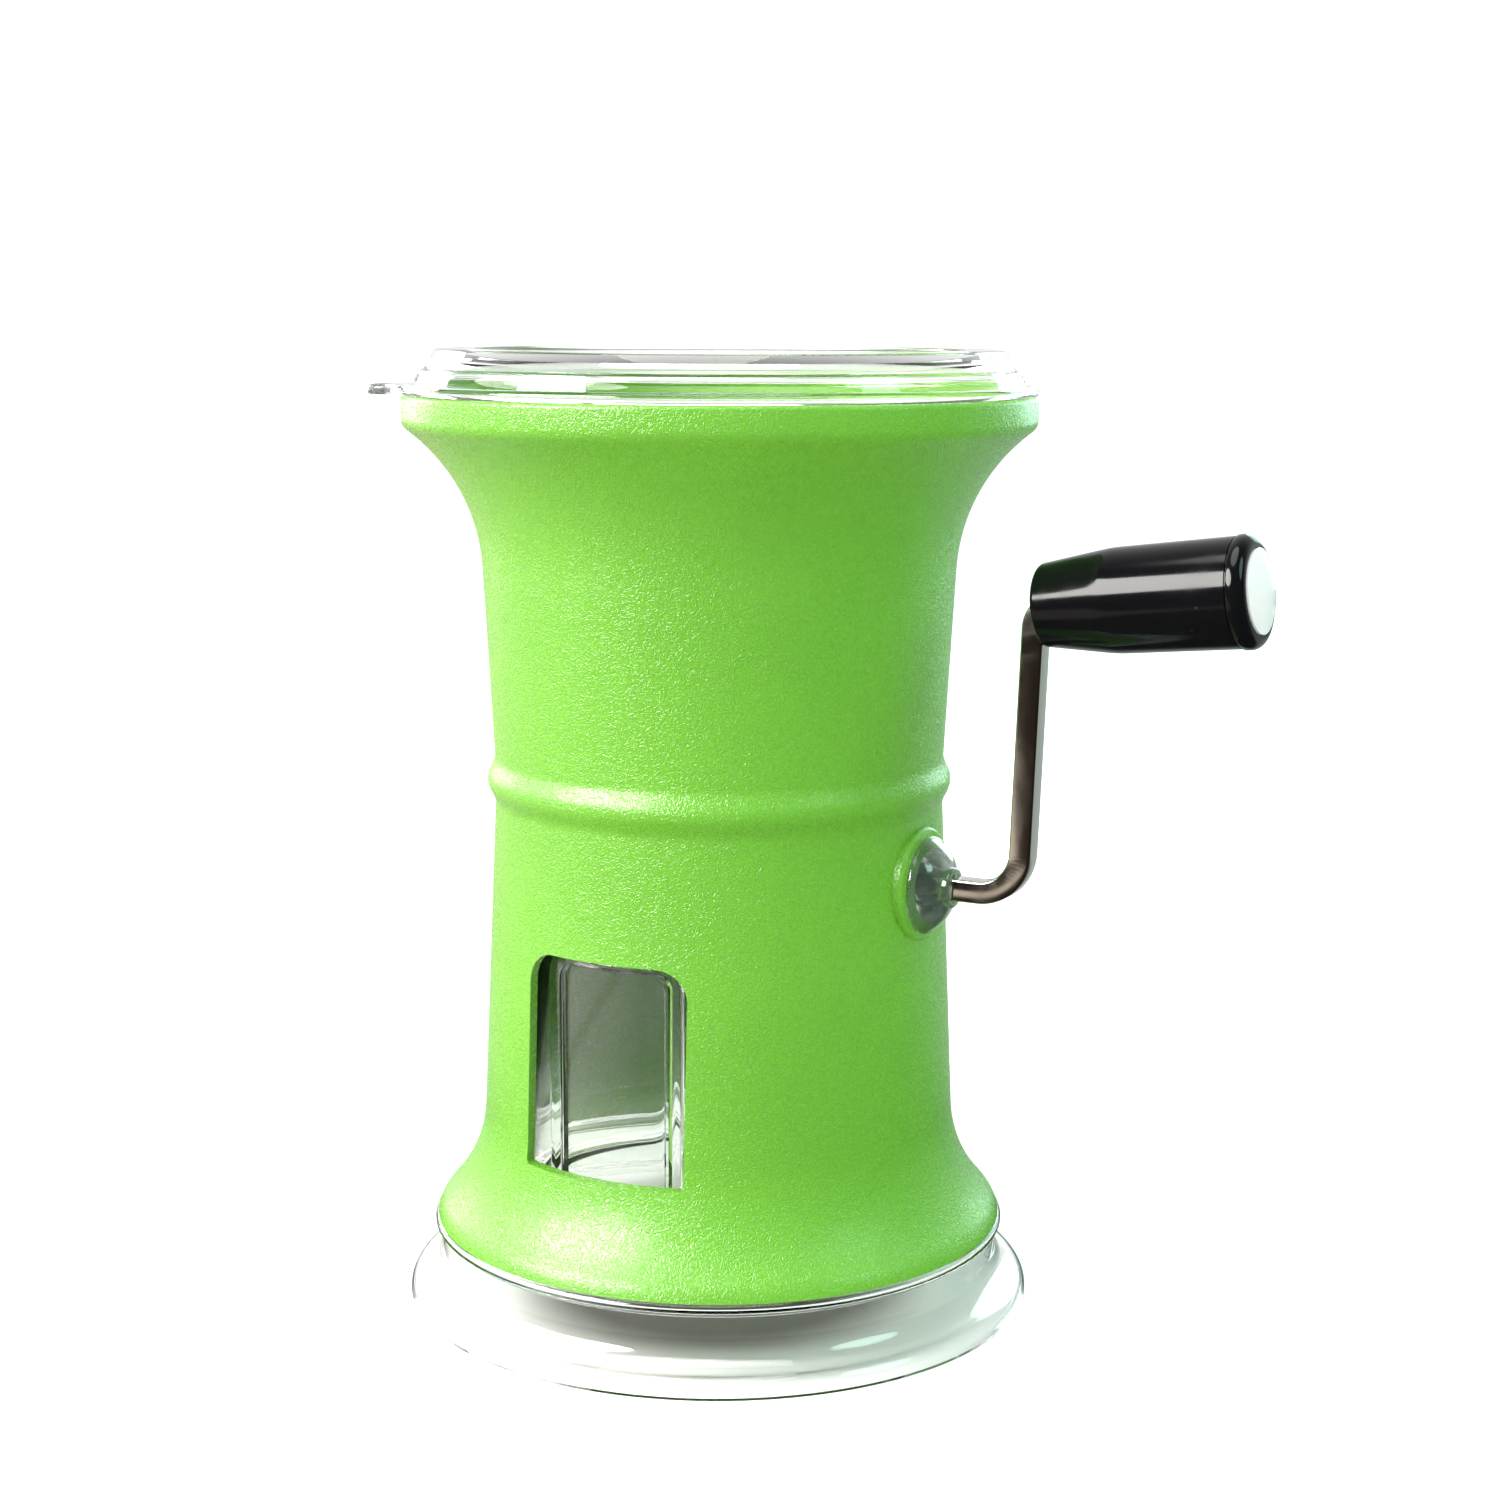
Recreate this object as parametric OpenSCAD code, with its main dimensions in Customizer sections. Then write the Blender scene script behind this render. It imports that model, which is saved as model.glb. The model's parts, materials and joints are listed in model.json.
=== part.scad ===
// Hand-cranked dry fruit cutter.
// A waisted shell stands on a clear collector. Nuts slide down the hopper onto a rotor of toothed
// blades. A square crank rod turns the rotor, and its blades pass between the fingers of two combs.
// Millimetres, +Z up, origin on the shell's axis at the foot, window towards -Y, crank along +X.

/* [Shell] */
// Height of the shell's lower edge above the table
foot_h = 17; // [14:0.5:22]
// Height of the shell from its lower edge to its rim
shell_h = 172.3; // [162:0.1:186]
// Outer radius of the rim
rim_r = 65; // [61:0.5:70]
// Height of the upright band at the rim
rim_band = 4.6; // [3.5:0.1:8]
// Rounding under the rim band
rim_round = 2.9; // [2.6:0.1:5]
// Rounding of the rim's top edge
rim_edge = 0.9; // [0.3:0.1:1.5]
// Radius of the hollow flare under the rim
top_flare = 37.4; // [30:0.1:44]
// Outer radius of the wall behind the ring
waist_r = 46.6; // [44.5:0.1:49]
// Lean of the wall above the ring, in degrees
upper_lean = 3; // [2:0.1:4]
// Lean of the wall below the ring, in degrees
lower_lean = 2.5; // [2:0.1:3.5]
// Radius of the hollow flare at the foot
foot_flare = 31.5; // [26:0.1:36]
// Rounding of the hem below the flare
hem_round = 7.8; // [6:0.1:10]
// Lean of the hem at the lower edge, in degrees
hem_lean = 12.7; // [8:0.1:16]
// Outer radius of the lower edge
hem_r = 60; // [57:0.1:63]
// Wall thickness
wall = 2.4; // [2:0.1:2.5]
// Height of the ring above the lower edge
ring_h = 93.4; // [88:0.1:98]
// How far the ring stands out
ring_out = 1.8; // [1:0.1:3]
// Half the height of the ring
ring_half = 5.2; // [4:0.1:7]

/* [Window] */
// Width of the window
win_w = 36.4; // [30:0.1:42]
// Height of the window
win_h = 44; // [36:0.5:46]
// Height of the sill above the shell's lower edge
win_sill = 19; // [17:0.5:22]
// Rounding of the upper corners
win_top_r = 6.5; // [3:0.1:10]
// Rounding of the lower corners
win_low_r = 1; // [0.5:0.1:3]

/* [Crank bush] */
// Height of the crank axis above the shell's lower edge
crank_h = 75; // [74:0.5:78]
// Radius of the flat boss on the wall
boss_r = 11.7; // [11:0.1:13]
// How far the boss stands out at its middle
boss_out = 0.7; // [0.4:0.1:1.5]
// Rounding of the boss's edge
boss_edge = 0.6; // [0.2:0.1:1]
// Radius of the bush's flange
bush_flange_r = 9.9; // [9:0.1:10.5]
// Thickness of the bush's flange
bush_flange_t = 1.2; // [0.8:0.1:2]
// Height of the bush's dome
bush_dome_h = 4; // [3:0.1:6]
// Step between the flange's edge and the dome
bush_step = 0.4; // [0.2:0.1:0.8]
// How far the dome bulges out of a straight cone
bush_bulge = 0.7; // [0.3:0.1:1.2]
// Radius of the collar on the dome
bush_collar_r = 4.1; // [3.8:0.1:5]
// Length of the collar
bush_collar_h = 1.2; // [0.8:0.1:2]
// Radius of the shank in the wall
bush_shank_r = 6; // [5:0.1:7]
// How far the shank comes through the wall
bush_shank_past = 1.4; // [0.5:0.1:3]

/* [Hopper] */
// Height of the hopper from its throat to the ledge that carries it
funnel_h = 19; // [15:0.5:22]
// Wall of the hopper
funnel_wall = 2; // [1.5:0.1:2.5]
// Half the length of the throat
throat_x = 24; // [21:0.5:25]
// Half the width of the throat
throat_y = 17.5; // [15:0.5:18]
// Thickness of the hopper's flange
funnel_flange_t = 2; // [1.5:0.1:3]
// Width of the ledge inside the shell
ledge_w = 2.4; // [1.8:0.1:3]
// Thickness of the ledge
ledge_t = 2; // [1.5:0.1:3]
// Thickness of the plate that the cutter box hangs from
throat_plate_t = 2.2; // [1.5:0.1:3]

/* [Cutter box] */
// Thickness of the end walls
box_end_t = 3.5; // [3:0.1:5]
// Thickness of the long walls
box_side_t = 2.5; // [2:0.1:3.5]
// Width of the seat that each comb is screwed to
comb_seat_w = 7.5; // [7:0.1:9]
// Thickness of that seat
comb_seat_t = 2.5; // [2:0.1:4]
// Length of the lugs that hold the box to the hopper
lug_len = 6.5; // [6:0.1:7.5]
// Half the width of the lugs
lug_half = 18; // [16.5:0.5:20]
// Thickness of the lugs
lug_t = 2.5; // [2:0.1:4]
// Distance between a lug screw's boss and the end of its lug
lug_edge = 1; // [0.5:0.1:1.5]
// Radius of the end walls round the shaft
bearing_lug_r = 8.5; // [8:0.1:10]
// Wall of the sleeves that carry the shaft
bearing_wall = 1.8; // [1.4:0.1:2.2]
// How far a sleeve's flange stands out
bearing_flange_out = 1.5; // [1:0.1:2]
// Thickness of a sleeve's flange
bearing_flange_t = 1; // [0.8:0.1:1.4]

/* [Rotor] */
// Number of blades
blades = 8; // [6:1:9]
// Radius over the blade teeth
blade_r = 17; // [15:0.5:18]
// Radius at the root of the teeth
blade_root_r = 10; // [8.5:0.5:12]
// Thickness of a blade
blade_t = 1.2; // [0.8:0.1:1.6]
// Number of teeth on a blade
teeth = 6; // [4:1:8]
// Share of a tooth's pitch in front of its tip
tooth_lead = 0.1; // [0.05:0.01:0.2]
// Share of a tooth's pitch that its tip takes
tooth_tip = 0.25; // [0.15:0.01:0.4]
// Share of a tooth's pitch where its back reaches the root
tooth_back = 0.8; // [0.7:0.01:0.9]
// Radius of a spacer
spacer_r = 6.5; // [5.5:0.1:7.5]
// Length of a spacer
spacer_l = 4.6; // [4:0.1:5]

/* [Combs] */
// Thickness of a comb
comb_t = 1.5; // [1:0.1:2]
// Width of a comb finger
finger_w = 2.6; // [2:0.1:3]
// Distance between the outer comb screws and the middle one
comb_screw_pitch = 18; // [14:0.5:20]

/* [Crank] */
// Side of the square rod
rod_w = 4.5; // [4:0.1:5]
// Chamfer on the rod's corners
rod_chamfer = 0.4; // [0.2:0.1:0.7]
// Straight length between the bush and the first bend
crank_stub = 5.6; // [4:0.1:9]
// Bend radius at the shaft, on the centre line
bend_low = 9; // [6:0.5:11]
// Bend radius at the grip, on the centre line
bend_high = 5; // [4:0.1:6]
// Height of the grip's axis above the shaft at the upper bend
crank_throw = 58.5; // [50:0.5:66]
// Outward lean of the arm, in degrees
arm_lean = 2.1; // [0:0.1:5]
// Upward tilt of the grip, in degrees
grip_tilt = 6.7; // [0:0.1:9]

/* [Grip] */
// Length of the grip
grip_l = 43.2; // [38:0.1:50]
// How far the grip reaches back over the upper bend
grip_back = 2.7; // [2:0.1:3]
// Radius of the grip's inner end
grip_small_r = 8.25; // [7.8:0.05:9]
// Radius of the grip where its first taper ends
grip_mid_r = 10.2; // [9.4:0.1:11]
// Length of the first taper
grip_taper_l = 14.7; // [10:0.1:20]
// Radius of the grip at the end collar
grip_big_r = 10.65; // [10:0.05:11.5]
// Length of the end collar
grip_collar_l = 3.6; // [3.4:0.1:6]
// How far the end collar stands out
grip_collar_out = 0.25; // [0.1:0.05:0.4]
// Rounding of the grip's inner end
grip_edge = 0.8; // [0.5:0.1:1.2]
// Wall left round the mouth of the grip's inner end
grip_mouth = 2.3; // [2:0.1:2.6]
// Flat between the rounded end of the grip and its cap
grip_flat = 0.6; // [0.4:0.1:0.8]
// Radius of the cap in the grip's end
cap_r = 8.1; // [7.8:0.1:8.4]
// Height of the cap's dome
cap_dome = 1.8; // [1:0.1:3]
// Height of the cap's upright edge
cap_side = 1.3; // [1:0.1:1.8]
// Depth of the cap's plug
cap_plug_h = 1.6; // [1.2:0.1:2]
// Wall of the cap's plug
cap_plug_wall = 1.2; // [0.8:0.1:1.5]
// Depth of the cap's seat in the grip
cap_seat = 1; // [0.6:0.1:2]
// Room for the screw and washer behind the cap
grip_well = 6.2; // [5.6:0.1:8]
// Radius of that room
grip_well_r = 6.5; // [6.2:0.1:7.2]

/* [Lid] */
// Height of the lid's flange on the rim
lid_flange_h = 2.2; // [1.5:0.1:3]
// Height of the lid above the rim
lid_h = 9.4; // [8:0.1:13]
// How far the foot of the lid's slope lies inside the rim
lid_base_in = 2.4; // [2:0.1:5]
// How far the slope leans in between its foot and the flat top
lid_lean_in = 5.4; // [4:0.1:9]
// Rounding of the lid's top edge
lid_round = 1.6; // [0.8:0.1:2.5]
// Wall of the lid
lid_t = 1.8; // [1.4:0.1:2.2]
// Height of the step that goes round the slope
lid_step = 0.5; // [0.2:0.1:0.8]
// Width of the flat border round the dished middle
dish_border = 7.2; // [4:0.1:15]
// Depth of the dished middle
dish_h = 0.8; // [0.3:0.1:1.5]
// Depth of the plug inside the rim
lid_plug_h = 5; // [3:0.1:7]
// How far the lift tab reaches past the flange
tab_l = 6.5; // [5:0.1:12]
// Width of the lift tab
tab_w = 18; // [12:0.5:26]
// Thickness of the lift tab as a share of the flange's
tab_share = 0.86; // [0.5:0.02:0.96]
// Rounding of the tab's corners
tab_round = 5; // [2:0.1:5.5]
// Direction of the tab from the crank, in degrees
tab_turn = 210; // [150:1:260]

/* [Collector] */
// Radius of the foot
foot_r = 66; // [63:0.1:70]
// Upright edge of the foot
foot_edge = 0.8; // [0.5:0.1:2]
// Rounding of the foot's shoulder
foot_round = 4; // [2.5:0.1:5]
// Rounding where the neck runs out into the foot
neck_round = 5; // [3:0.1:6]
// Radius of the neck under the ring
neck_r = 59.2; // [57:0.1:60]
// Thickness of the ring and the floor
floor_t = 2.3; // [1.8:0.1:3]
// How far the ring stands out past the shell
lip_out = 0.6; // [0.2:0.1:1.5]
// Height of the step under the ring
lip_step = 0.4; // [0.2:0.1:0.8]
// Wall of the collector
cup_wall = 1.8; // [1.4:0.1:2.2]
// Clearance between the collector's top and the bush
cup_clear = 3; // [2:0.5:5]
// Height of the spigot that centres the shell
spigot_h = 3.5; // [2:0.1:5]
// Rounding inside the collector's floor
cup_round = 3; // [1:0.1:6]
// How far the pane stands out of the collector's wall
pane_out = 1.5; // [0.8:0.1:2]
// Width of the pane
pane_w = 30.4; // [24:0.1:32]
// Rounding of the pane's upper corners
pane_r = 6.2; // [5:0.1:8]
// Width of the pane's thick border
pane_border = 3; // [2:0.1:4]
// Height of the pane's top above the window's top edge
pane_rise = 0.8; // [0:0.1:1.5]

/* [Fasteners] */
// Radius of a screw's shank
screw_r = 1.5; // [1.2:0.05:1.6]
// Radius of a screw's head
screw_head_r = 2.8; // [2.4:0.1:3]
// Height of a screw's head
screw_head_h = 2; // [1.5:0.1:2.5]
// Radius of a head's flat top as a share of the head's
head_top = 0.8; // [0.6:0.05:0.9]
// Upright side of a head as a share of its height
head_side = 0.6; // [0.4:0.05:0.8]
// Width of a head's slot as a share of its radius
slot_share = 0.25; // [0.2:0.05:0.35]
// Depth of a head's slot as a share of its height
slot_depth = 0.45; // [0.3:0.05:0.6]
// Length of the comb and box screws under their heads
screw_l = 8; // [7:0.5:10]
// Radius of the bosses that take the screws
screw_boss_r = 3.2; // [3:0.1:3.6]
// Material left beyond a screw's end
screw_floor = 1; // [0.8:0.1:1.5]
// Length of the screws in the rod's two ends
rod_screw_l = 7; // [5:0.5:9]
// Radius of the screws in the rod's two ends
rod_screw_r = 1.25; // [1:0.05:1.4]
// Radius of the washers on the rod's two ends
washer_r = 5.5; // [5:0.1:6]
// Thickness of the washers
washer_t = 1; // [0.6:0.1:1.4]

/* [Fits] */
// Running clearance of the rod's corners in a bush or in the grip
run_gap = 0.08; // [0.04:0.01:0.1]
// Clearance of a fixed pin, plug or bush in its hole
seat_gap = 0.05; // [0.03:0.01:0.08]
// Clearance of parts that lift off each other
lift_gap = 0.4; // [0.3:0.05:0.6]
// Clearance at the ends of turning parts
end_gap = 0.5; // [0.3:0.05:0.8]
// Clearance round the blade teeth
tooth_gap = 2; // [1.5:0.1:3]
// Clearance between the comb fingers and the spacers
finger_gap = 0.8; // [0.5:0.1:1.2]

/* [Hidden] */
$fn = 96;
// Overshoot of a cut past the face that it opens
past = 1;
// Overlap of pieces that are joined end to end
lap = 0.02;
// Steps in an arc of an outline, and in a small rounding
steps = 10;
few = 5;
// Smallest rounding that an outline keeps
least_r = 0.1;
// A length that crosses the whole cutter
span = 200;

// Levels
rim_z = foot_h + shell_h;
ring_z = foot_h + ring_h;
shaft_z = foot_h + crank_h;
throat_z = shaft_z + blade_r + tooth_gap;
ledge_z = throat_z + funnel_h;
sill_z = foot_h + win_sill;
cup_top_z = shaft_z - bush_shank_r - cup_clear;

// Lower flare: an arc outside the wall runs into an arc inside the hem
hem_c = [hem_r - hem_round * cos(hem_lean), foot_h - hem_round * sin(hem_lean)];
foot_reach = waist_r + (ring_z - hem_c[1] + foot_flare * sin(lower_lean)) * tan(lower_lean)
    + foot_flare * cos(lower_lean) - hem_c[0];
foot_turn = lower_lean + acos(foot_reach * cos(lower_lean) / (foot_flare + hem_round));
foot_bend_z = hem_c[1] + (foot_flare + hem_round) * sin(foot_turn) - foot_flare * sin(lower_lean);
foot_c = [lower_wall(foot_bend_z) + foot_flare * cos(lower_lean), foot_bend_z + foot_flare * sin(lower_lean)];

// Upper flare: the same pair of arcs upside down, ending in an upright rim
rim_c = [rim_r - rim_round, rim_z - rim_band];
top_reach = waist_r + (rim_c[1] + top_flare * sin(upper_lean) - ring_z) * tan(upper_lean)
    + top_flare * cos(upper_lean) - rim_c[0];
top_turn = upper_lean + acos(top_reach * cos(upper_lean) / (top_flare + rim_round));
top_bend_z = rim_c[1] - (top_flare + rim_round) * sin(top_turn) + top_flare * sin(upper_lean);
top_c = [upper_wall(top_bend_z) + top_flare * cos(upper_lean), top_bend_z - top_flare * sin(upper_lean)];

// Places along the shaft, from the middle of the rotor
pitch = blade_t + spacer_l;
stack_l = blades * blade_t + (blades + 1) * spacer_l;
box_in_x = stack_l / 2 + end_gap;
box_in_y = blade_r + tooth_gap;
box_x = box_in_x + box_end_t;
box_y = box_in_y + box_side_t;
boss_x = lower_wall(shaft_z) + boss_out;
bush_in_x = lower_wall(shaft_z) - wall - bush_shank_past;
collar_x = boss_x + bush_flange_t + bush_dome_h + bush_collar_h;
rod_end_x = -(box_x + bearing_flange_t + end_gap);

// Rod fits: its corners run in the bores, its flats turn the blades
rod_corner = norm([rod_w / 2, rod_w / 2 - rod_chamfer]);
run_r = rod_corner + run_gap;
bearing_r = run_r + bearing_wall;

// Comb seats, under the long walls of the box at the level of the shaft
comb_z = shaft_z + comb_t / 2;
comb_y = box_in_y + comb_seat_w;
comb_screw_y = box_in_y + comb_seat_w / 2;
comb_screw_x = [-comb_screw_pitch, 0, comb_screw_pitch];

// Lugs of the box
lug_x = box_x + lug_len;
lug_screw_x = box_x + lug_len / 2;
lug_screw_y = lug_half - screw_boss_r - lug_edge;

// Hopper, round where it stands in the shell
hopper_r = upper_wall(ledge_z) - wall - ledge_w - lift_gap;
hopper_flange_r = upper_wall(ledge_z) - wall / cos(upper_lean) - lift_gap;
tub_r = hopper_r - funnel_wall;

// Crank: stub, bend, arm, bend, pin
bend_x = collar_x + crank_stub;
arm_base = [bend_x + bend_low * cos(arm_lean), shaft_z + bend_low * (1 - sin(arm_lean))];
high_rise = bend_high * (cos(grip_tilt) - sin(arm_lean));
arm_l = (shaft_z + crank_throw - high_rise - arm_base[1]) / cos(arm_lean);
arm_top = arm_base + arm_l * [sin(arm_lean), cos(arm_lean)];
high_c = arm_top + bend_high * [cos(arm_lean), -sin(arm_lean)];
pin_base = high_c + bend_high * [-sin(grip_tilt), cos(grip_tilt)];
grip_end = grip_l - grip_back;
pin_l = grip_end - cap_seat - grip_well + end_gap;

// Collector
pane_face_r = lower_wall(cup_top_z) - wall - lift_gap;
cup_r = pane_face_r - pane_out;
cup_in_r = cup_r - cup_wall;
pane_top_z = sill_z + win_h + pane_rise;
lip_r = hem_r + lip_out;
foot_c_high = [foot_r - foot_round, foot_edge];
neck_c = [neck_r + neck_round, foot_c_high[1] + (foot_round + neck_round) * skirt_drop()];

blade_names = [for (i = [1:blades]) str("cutter_blade_", i)];
spacer_names = [for (i = [1:blades + 1]) str("blade_spacer_", i)];

// Outer radius of the straight wall below and above the ring
function lower_wall(z) = waist_r + (ring_z - z) * tan(lower_lean);
function upper_wall(z) = waist_r + (z - ring_z) * tan(upper_lean);

// Points of an arc round c
function arc(c, r, from, to, n = steps) =
    [for (i = [0:n]) let (a = from + (to - from) * i / n) c + r * [cos(a), sin(a)]];

// Sine of the slope between the foot's shoulder and the neck, from their roundings
function skirt_drop() = sin(acos((foot_round + neck_round - (foot_r - neck_r)) / (foot_round + neck_round)));

// The same points from last to first
function back(points) = [for (i = [len(points) - 1:-1:0]) points[i]];

// Outline of the flare at the foot, of the flare at the rim and of the ring, set in from the outside
function foot_side(inset) = concat(
    arc(hem_c, hem_round - inset, asin((foot_h - hem_c[1]) / (hem_round - inset)), foot_turn),
    arc(foot_c, foot_flare + inset, 180 + foot_turn, 180 + lower_lean));
function rim_side(inset) = concat(
    arc(top_c, top_flare + inset, 180 - upper_lean, 180 - top_turn),
    arc(rim_c, max(rim_round - inset, least_r), -top_turn, 0));
function ring_side() = [for (i = [-steps:steps])
    let (dz = ring_half * i / steps, z = ring_z + dz)
    [(dz < 0 ? lower_wall(z) : upper_wall(z)) + ring_out * (1 + cos(180 * i / steps)) / 2, z]];

module along_shaft(x) {
    translate([x, 0, shaft_z]) rotate([0, 90, 0]) children();
}

module along_grip(s) {
    translate([pin_base[0], 0, pin_base[1]]) rotate([0, 90 - grip_tilt, 0]) translate([0, 0, s]) children();
}

// A plate drawn as seen from the front, standing from the axis towards -Y
module frontwards(depth) {
    rotate([90, 0, 0]) linear_extrude(depth) children();
}

// A panel outline with its own rounding at the top and at the bottom
module panel(w, low, high, r_low, r_high) {
    translate([-w / 2 + r_low, low]) square([w - 2 * r_low, r_low]);
    translate([-w / 2, low + r_low]) square([w, high - low - r_low - r_high]);
    translate([-w / 2 + r_high, high - r_high]) square([w - 2 * r_high, r_high]);
    for (side = [-1, 1]) {
        translate([side * (w / 2 - r_low), low + r_low]) circle(r_low);
        translate([side * (w / 2 - r_high), high - r_high]) circle(r_high);
    }
}

// A pan head screw along +Z, its seat at z = 0 and its slot in the head below
module pan_screw(r, l, head_r, head_h) {
    side_h = head_h * head_side;
    slot_w = head_r * slot_share;
    difference() {
        union() {
            cylinder(r = r, h = l);
            translate([0, 0, -head_h]) cylinder(r1 = head_r * head_top, r2 = head_r, h = head_h - side_h);
            translate([0, 0, -side_h]) cylinder(r = head_r, h = side_h);
        }
        translate([-head_r, -slot_w / 2, -head_h - past])
            cube([2 * head_r, slot_w, past + head_h * slot_depth]);
    }
}

module flat_washer(r, hole_r, t) {
    difference() {
        cylinder(r = r, h = t);
        translate([0, 0, -past]) cylinder(r = hole_r, h = t + 2 * past);
    }
}

module rod_section(w, chamfer) {
    a = w / 2;
    b = a - chamfer;
    polygon([[a, b], [b, a], [-b, a], [-a, b], [-a, -b], [-b, -a], [b, -a], [a, -b]]);
}

// Clear foot, ring and cup in one moulding, with the pane that stands behind the window
module collector() {
    floor_z = foot_h - floor_t;
    skirt_turn = asin(skirt_drop());
    spigot_out = [for (p = foot_side(wall + lift_gap)) if (p[1] < foot_h + spigot_h) p];
    spigot_in = [for (p = foot_side(wall + lift_gap + cup_wall)) if (p[1] < foot_h + spigot_h) p];
    color("whitesmoke", 0.5) difference() {
        union() {
            rotate_extrude() polygon(concat(
                [[0, floor_z], [neck_r - cup_wall, floor_z]],
                arc(neck_c, neck_round + cup_wall, 180, 180 + skirt_turn),
                arc(foot_c_high, foot_round - cup_wall, skirt_turn, 0),
                [[foot_r - cup_wall, 0], [foot_r, 0]],
                arc(foot_c_high, foot_round, 0, skirt_turn),
                arc(neck_c, neck_round, 180 + skirt_turn, 180),
                [[neck_r, floor_z - lip_step]],
                arc([lip_r - floor_t / 2, foot_h - floor_t / 2], floor_t / 2, -90, 90),
                spigot_out,
                back(spigot_in),
                [[cup_r, foot_h], [cup_r, cup_top_z], [cup_in_r, cup_top_z]],
                arc([cup_in_r - cup_round, foot_h + cup_round], cup_round, 0, -90),
                [[0, foot_h]]));
            intersection() {
                difference() {
                    cylinder(r = pane_face_r, h = cup_top_z);
                    translate([0, 0, -past]) cylinder(r = cup_r - cup_wall / 2, h = cup_top_z + 2 * past);
                }
                frontwards(span) panel(pane_w, foot_h - floor_t / 2, pane_top_z, win_low_r, pane_r);
            }
        }
        intersection() {
            cylinder(r = pane_face_r - cup_wall, h = cup_top_z);
            frontwards(span) panel(pane_w - 2 * pane_border, foot_h + cup_round, pane_top_z - pane_border,
                win_low_r, pane_r - pane_border);
        }
    }
}

// Shell turned in one piece, with the ledge inside that carries the hopper, sloped underneath
module body_shell() {
    in_r = upper_wall(ledge_z) - wall / cos(upper_lean);
    slope_z = ledge_z - ledge_t - ledge_w;
    color("yellowgreen") difference() {
        union() {
            rotate_extrude() polygon(concat(
                foot_side(0),
                ring_side(),
                rim_side(0),
                arc([rim_r - rim_edge, rim_z - rim_edge], rim_edge, 0, 90, few),
                [[rim_r - wall, rim_z]],
                back(rim_side(wall)),
                [[in_r, ledge_z], [in_r - ledge_w, ledge_z], [in_r - ledge_w, ledge_z - ledge_t],
                 [in_r - (ledge_t + ledge_w) * tan(upper_lean), slope_z], [waist_r - wall, ring_z]],
                back(foot_side(wall))));
            difference() {
                along_shaft(0) rotate_extrude() polygon(concat(
                    [[0, 0], [boss_r, 0]],
                    arc([boss_r - boss_edge, boss_x - boss_edge], boss_edge, 0, 90, few),
                    [[0, boss_x]]));
                cylinder(r = lower_wall(shaft_z) - wall / 2, h = span);
            }
        }
        frontwards(span) panel(win_w, sill_z, sill_z + win_h, win_low_r, win_top_r);
        along_shaft(0) cylinder(r = bush_shank_r + seat_gap, h = span);
    }
}

// Four sided funnel space, wider by grow on each side
module funnel_space(grow) {
    intersection() {
        translate([0, span / 2, 0]) frontwards(span) funnel_side(throat_x + grow, tub_r + grow);
        rotate([0, 0, 90]) translate([0, span / 2, 0])
            frontwards(span) funnel_side(throat_y + grow, tub_r + grow);
    }
}

module funnel_side(half_low, half_high) {
    polygon([
        [-half_low, throat_z - past], [half_low, throat_z - past], [half_low, throat_z],
        [half_high, ledge_z], [half_high, ledge_z + span], [-half_high, ledge_z + span],
        [-half_high, ledge_z], [-half_low, throat_z]]);
}

module hopper() {
    color("olivedrab") difference() {
        union() {
            difference() {
                translate([0, 0, throat_z]) cylinder(r = hopper_r, h = funnel_h + funnel_flange_t / 2);
                difference() {
                    translate([0, 0, throat_z - past]) cylinder(r = tub_r, h = funnel_h);
                    funnel_space(funnel_wall);
                }
            }
            translate([0, 0, ledge_z]) cylinder(r = hopper_flange_r, h = funnel_flange_t);
            intersection() {
                translate([0, 0, throat_z]) cylinder(r = hopper_r, h = throat_plate_t);
                translate([-lug_x, -box_y, throat_z]) cube([2 * lug_x, 2 * box_y, throat_plate_t]);
            }
            for (x = [-1, 1], y = [-1, 1])
                translate([x * lug_screw_x, y * lug_screw_y, throat_z])
                    cylinder(r = screw_boss_r, h = screw_l + screw_floor);
        }
        intersection() {
            funnel_space(0);
            translate([0, 0, throat_z - past]) cylinder(r = tub_r, h = funnel_h + funnel_flange_t + 2 * past);
        }
        for (x = [-1, 1], y = [-1, 1])
            translate([x * lug_screw_x, y * lug_screw_y, throat_z - past])
                cylinder(r = screw_r + seat_gap, h = screw_l - lug_t + past);
    }
}

// Frame that hangs under the throat: end walls carry the shaft, long walls carry the combs
module cutter_box() {
    color("gainsboro") difference() {
        union() {
            translate([-box_x, -box_y, comb_z]) cube([2 * box_x, 2 * box_y, throat_z - comb_z]);
            translate([-box_x, -comb_y, comb_z]) cube([2 * box_x, 2 * comb_y, comb_seat_t]);
            translate([-lug_x, -lug_half, throat_z - lug_t]) cube([2 * lug_x, 2 * lug_half, lug_t]);
            for (x = comb_screw_x, y = [-1, 1])
                translate([x, y * comb_screw_y, comb_z]) cylinder(r = screw_boss_r, h = screw_l + screw_floor);
            for (x = [-box_x, box_in_x]) {
                along_shaft(x) cylinder(r = bearing_lug_r, h = box_end_t);
                translate([x, -bearing_lug_r, shaft_z]) cube([box_end_t, 2 * bearing_lug_r, bearing_lug_r]);
            }
        }
        translate([-box_in_x, -box_in_y, shaft_z - span / 2]) cube([2 * box_in_x, 2 * box_in_y, span]);
        along_shaft(-span / 2) cylinder(r = bearing_r + seat_gap, h = span);
        for (x = comb_screw_x, y = [-1, 1])
            translate([x, y * comb_screw_y, comb_z - past])
                cylinder(r = screw_r + seat_gap, h = screw_l - comb_t + past);
        for (x = [-1, 1], y = [-1, 1])
            translate([x * lug_screw_x, y * lug_screw_y, throat_z - lug_t - past])
                cylinder(r = screw_r + 2 * seat_gap, h = lug_t + 2 * past);
    }
}

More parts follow.
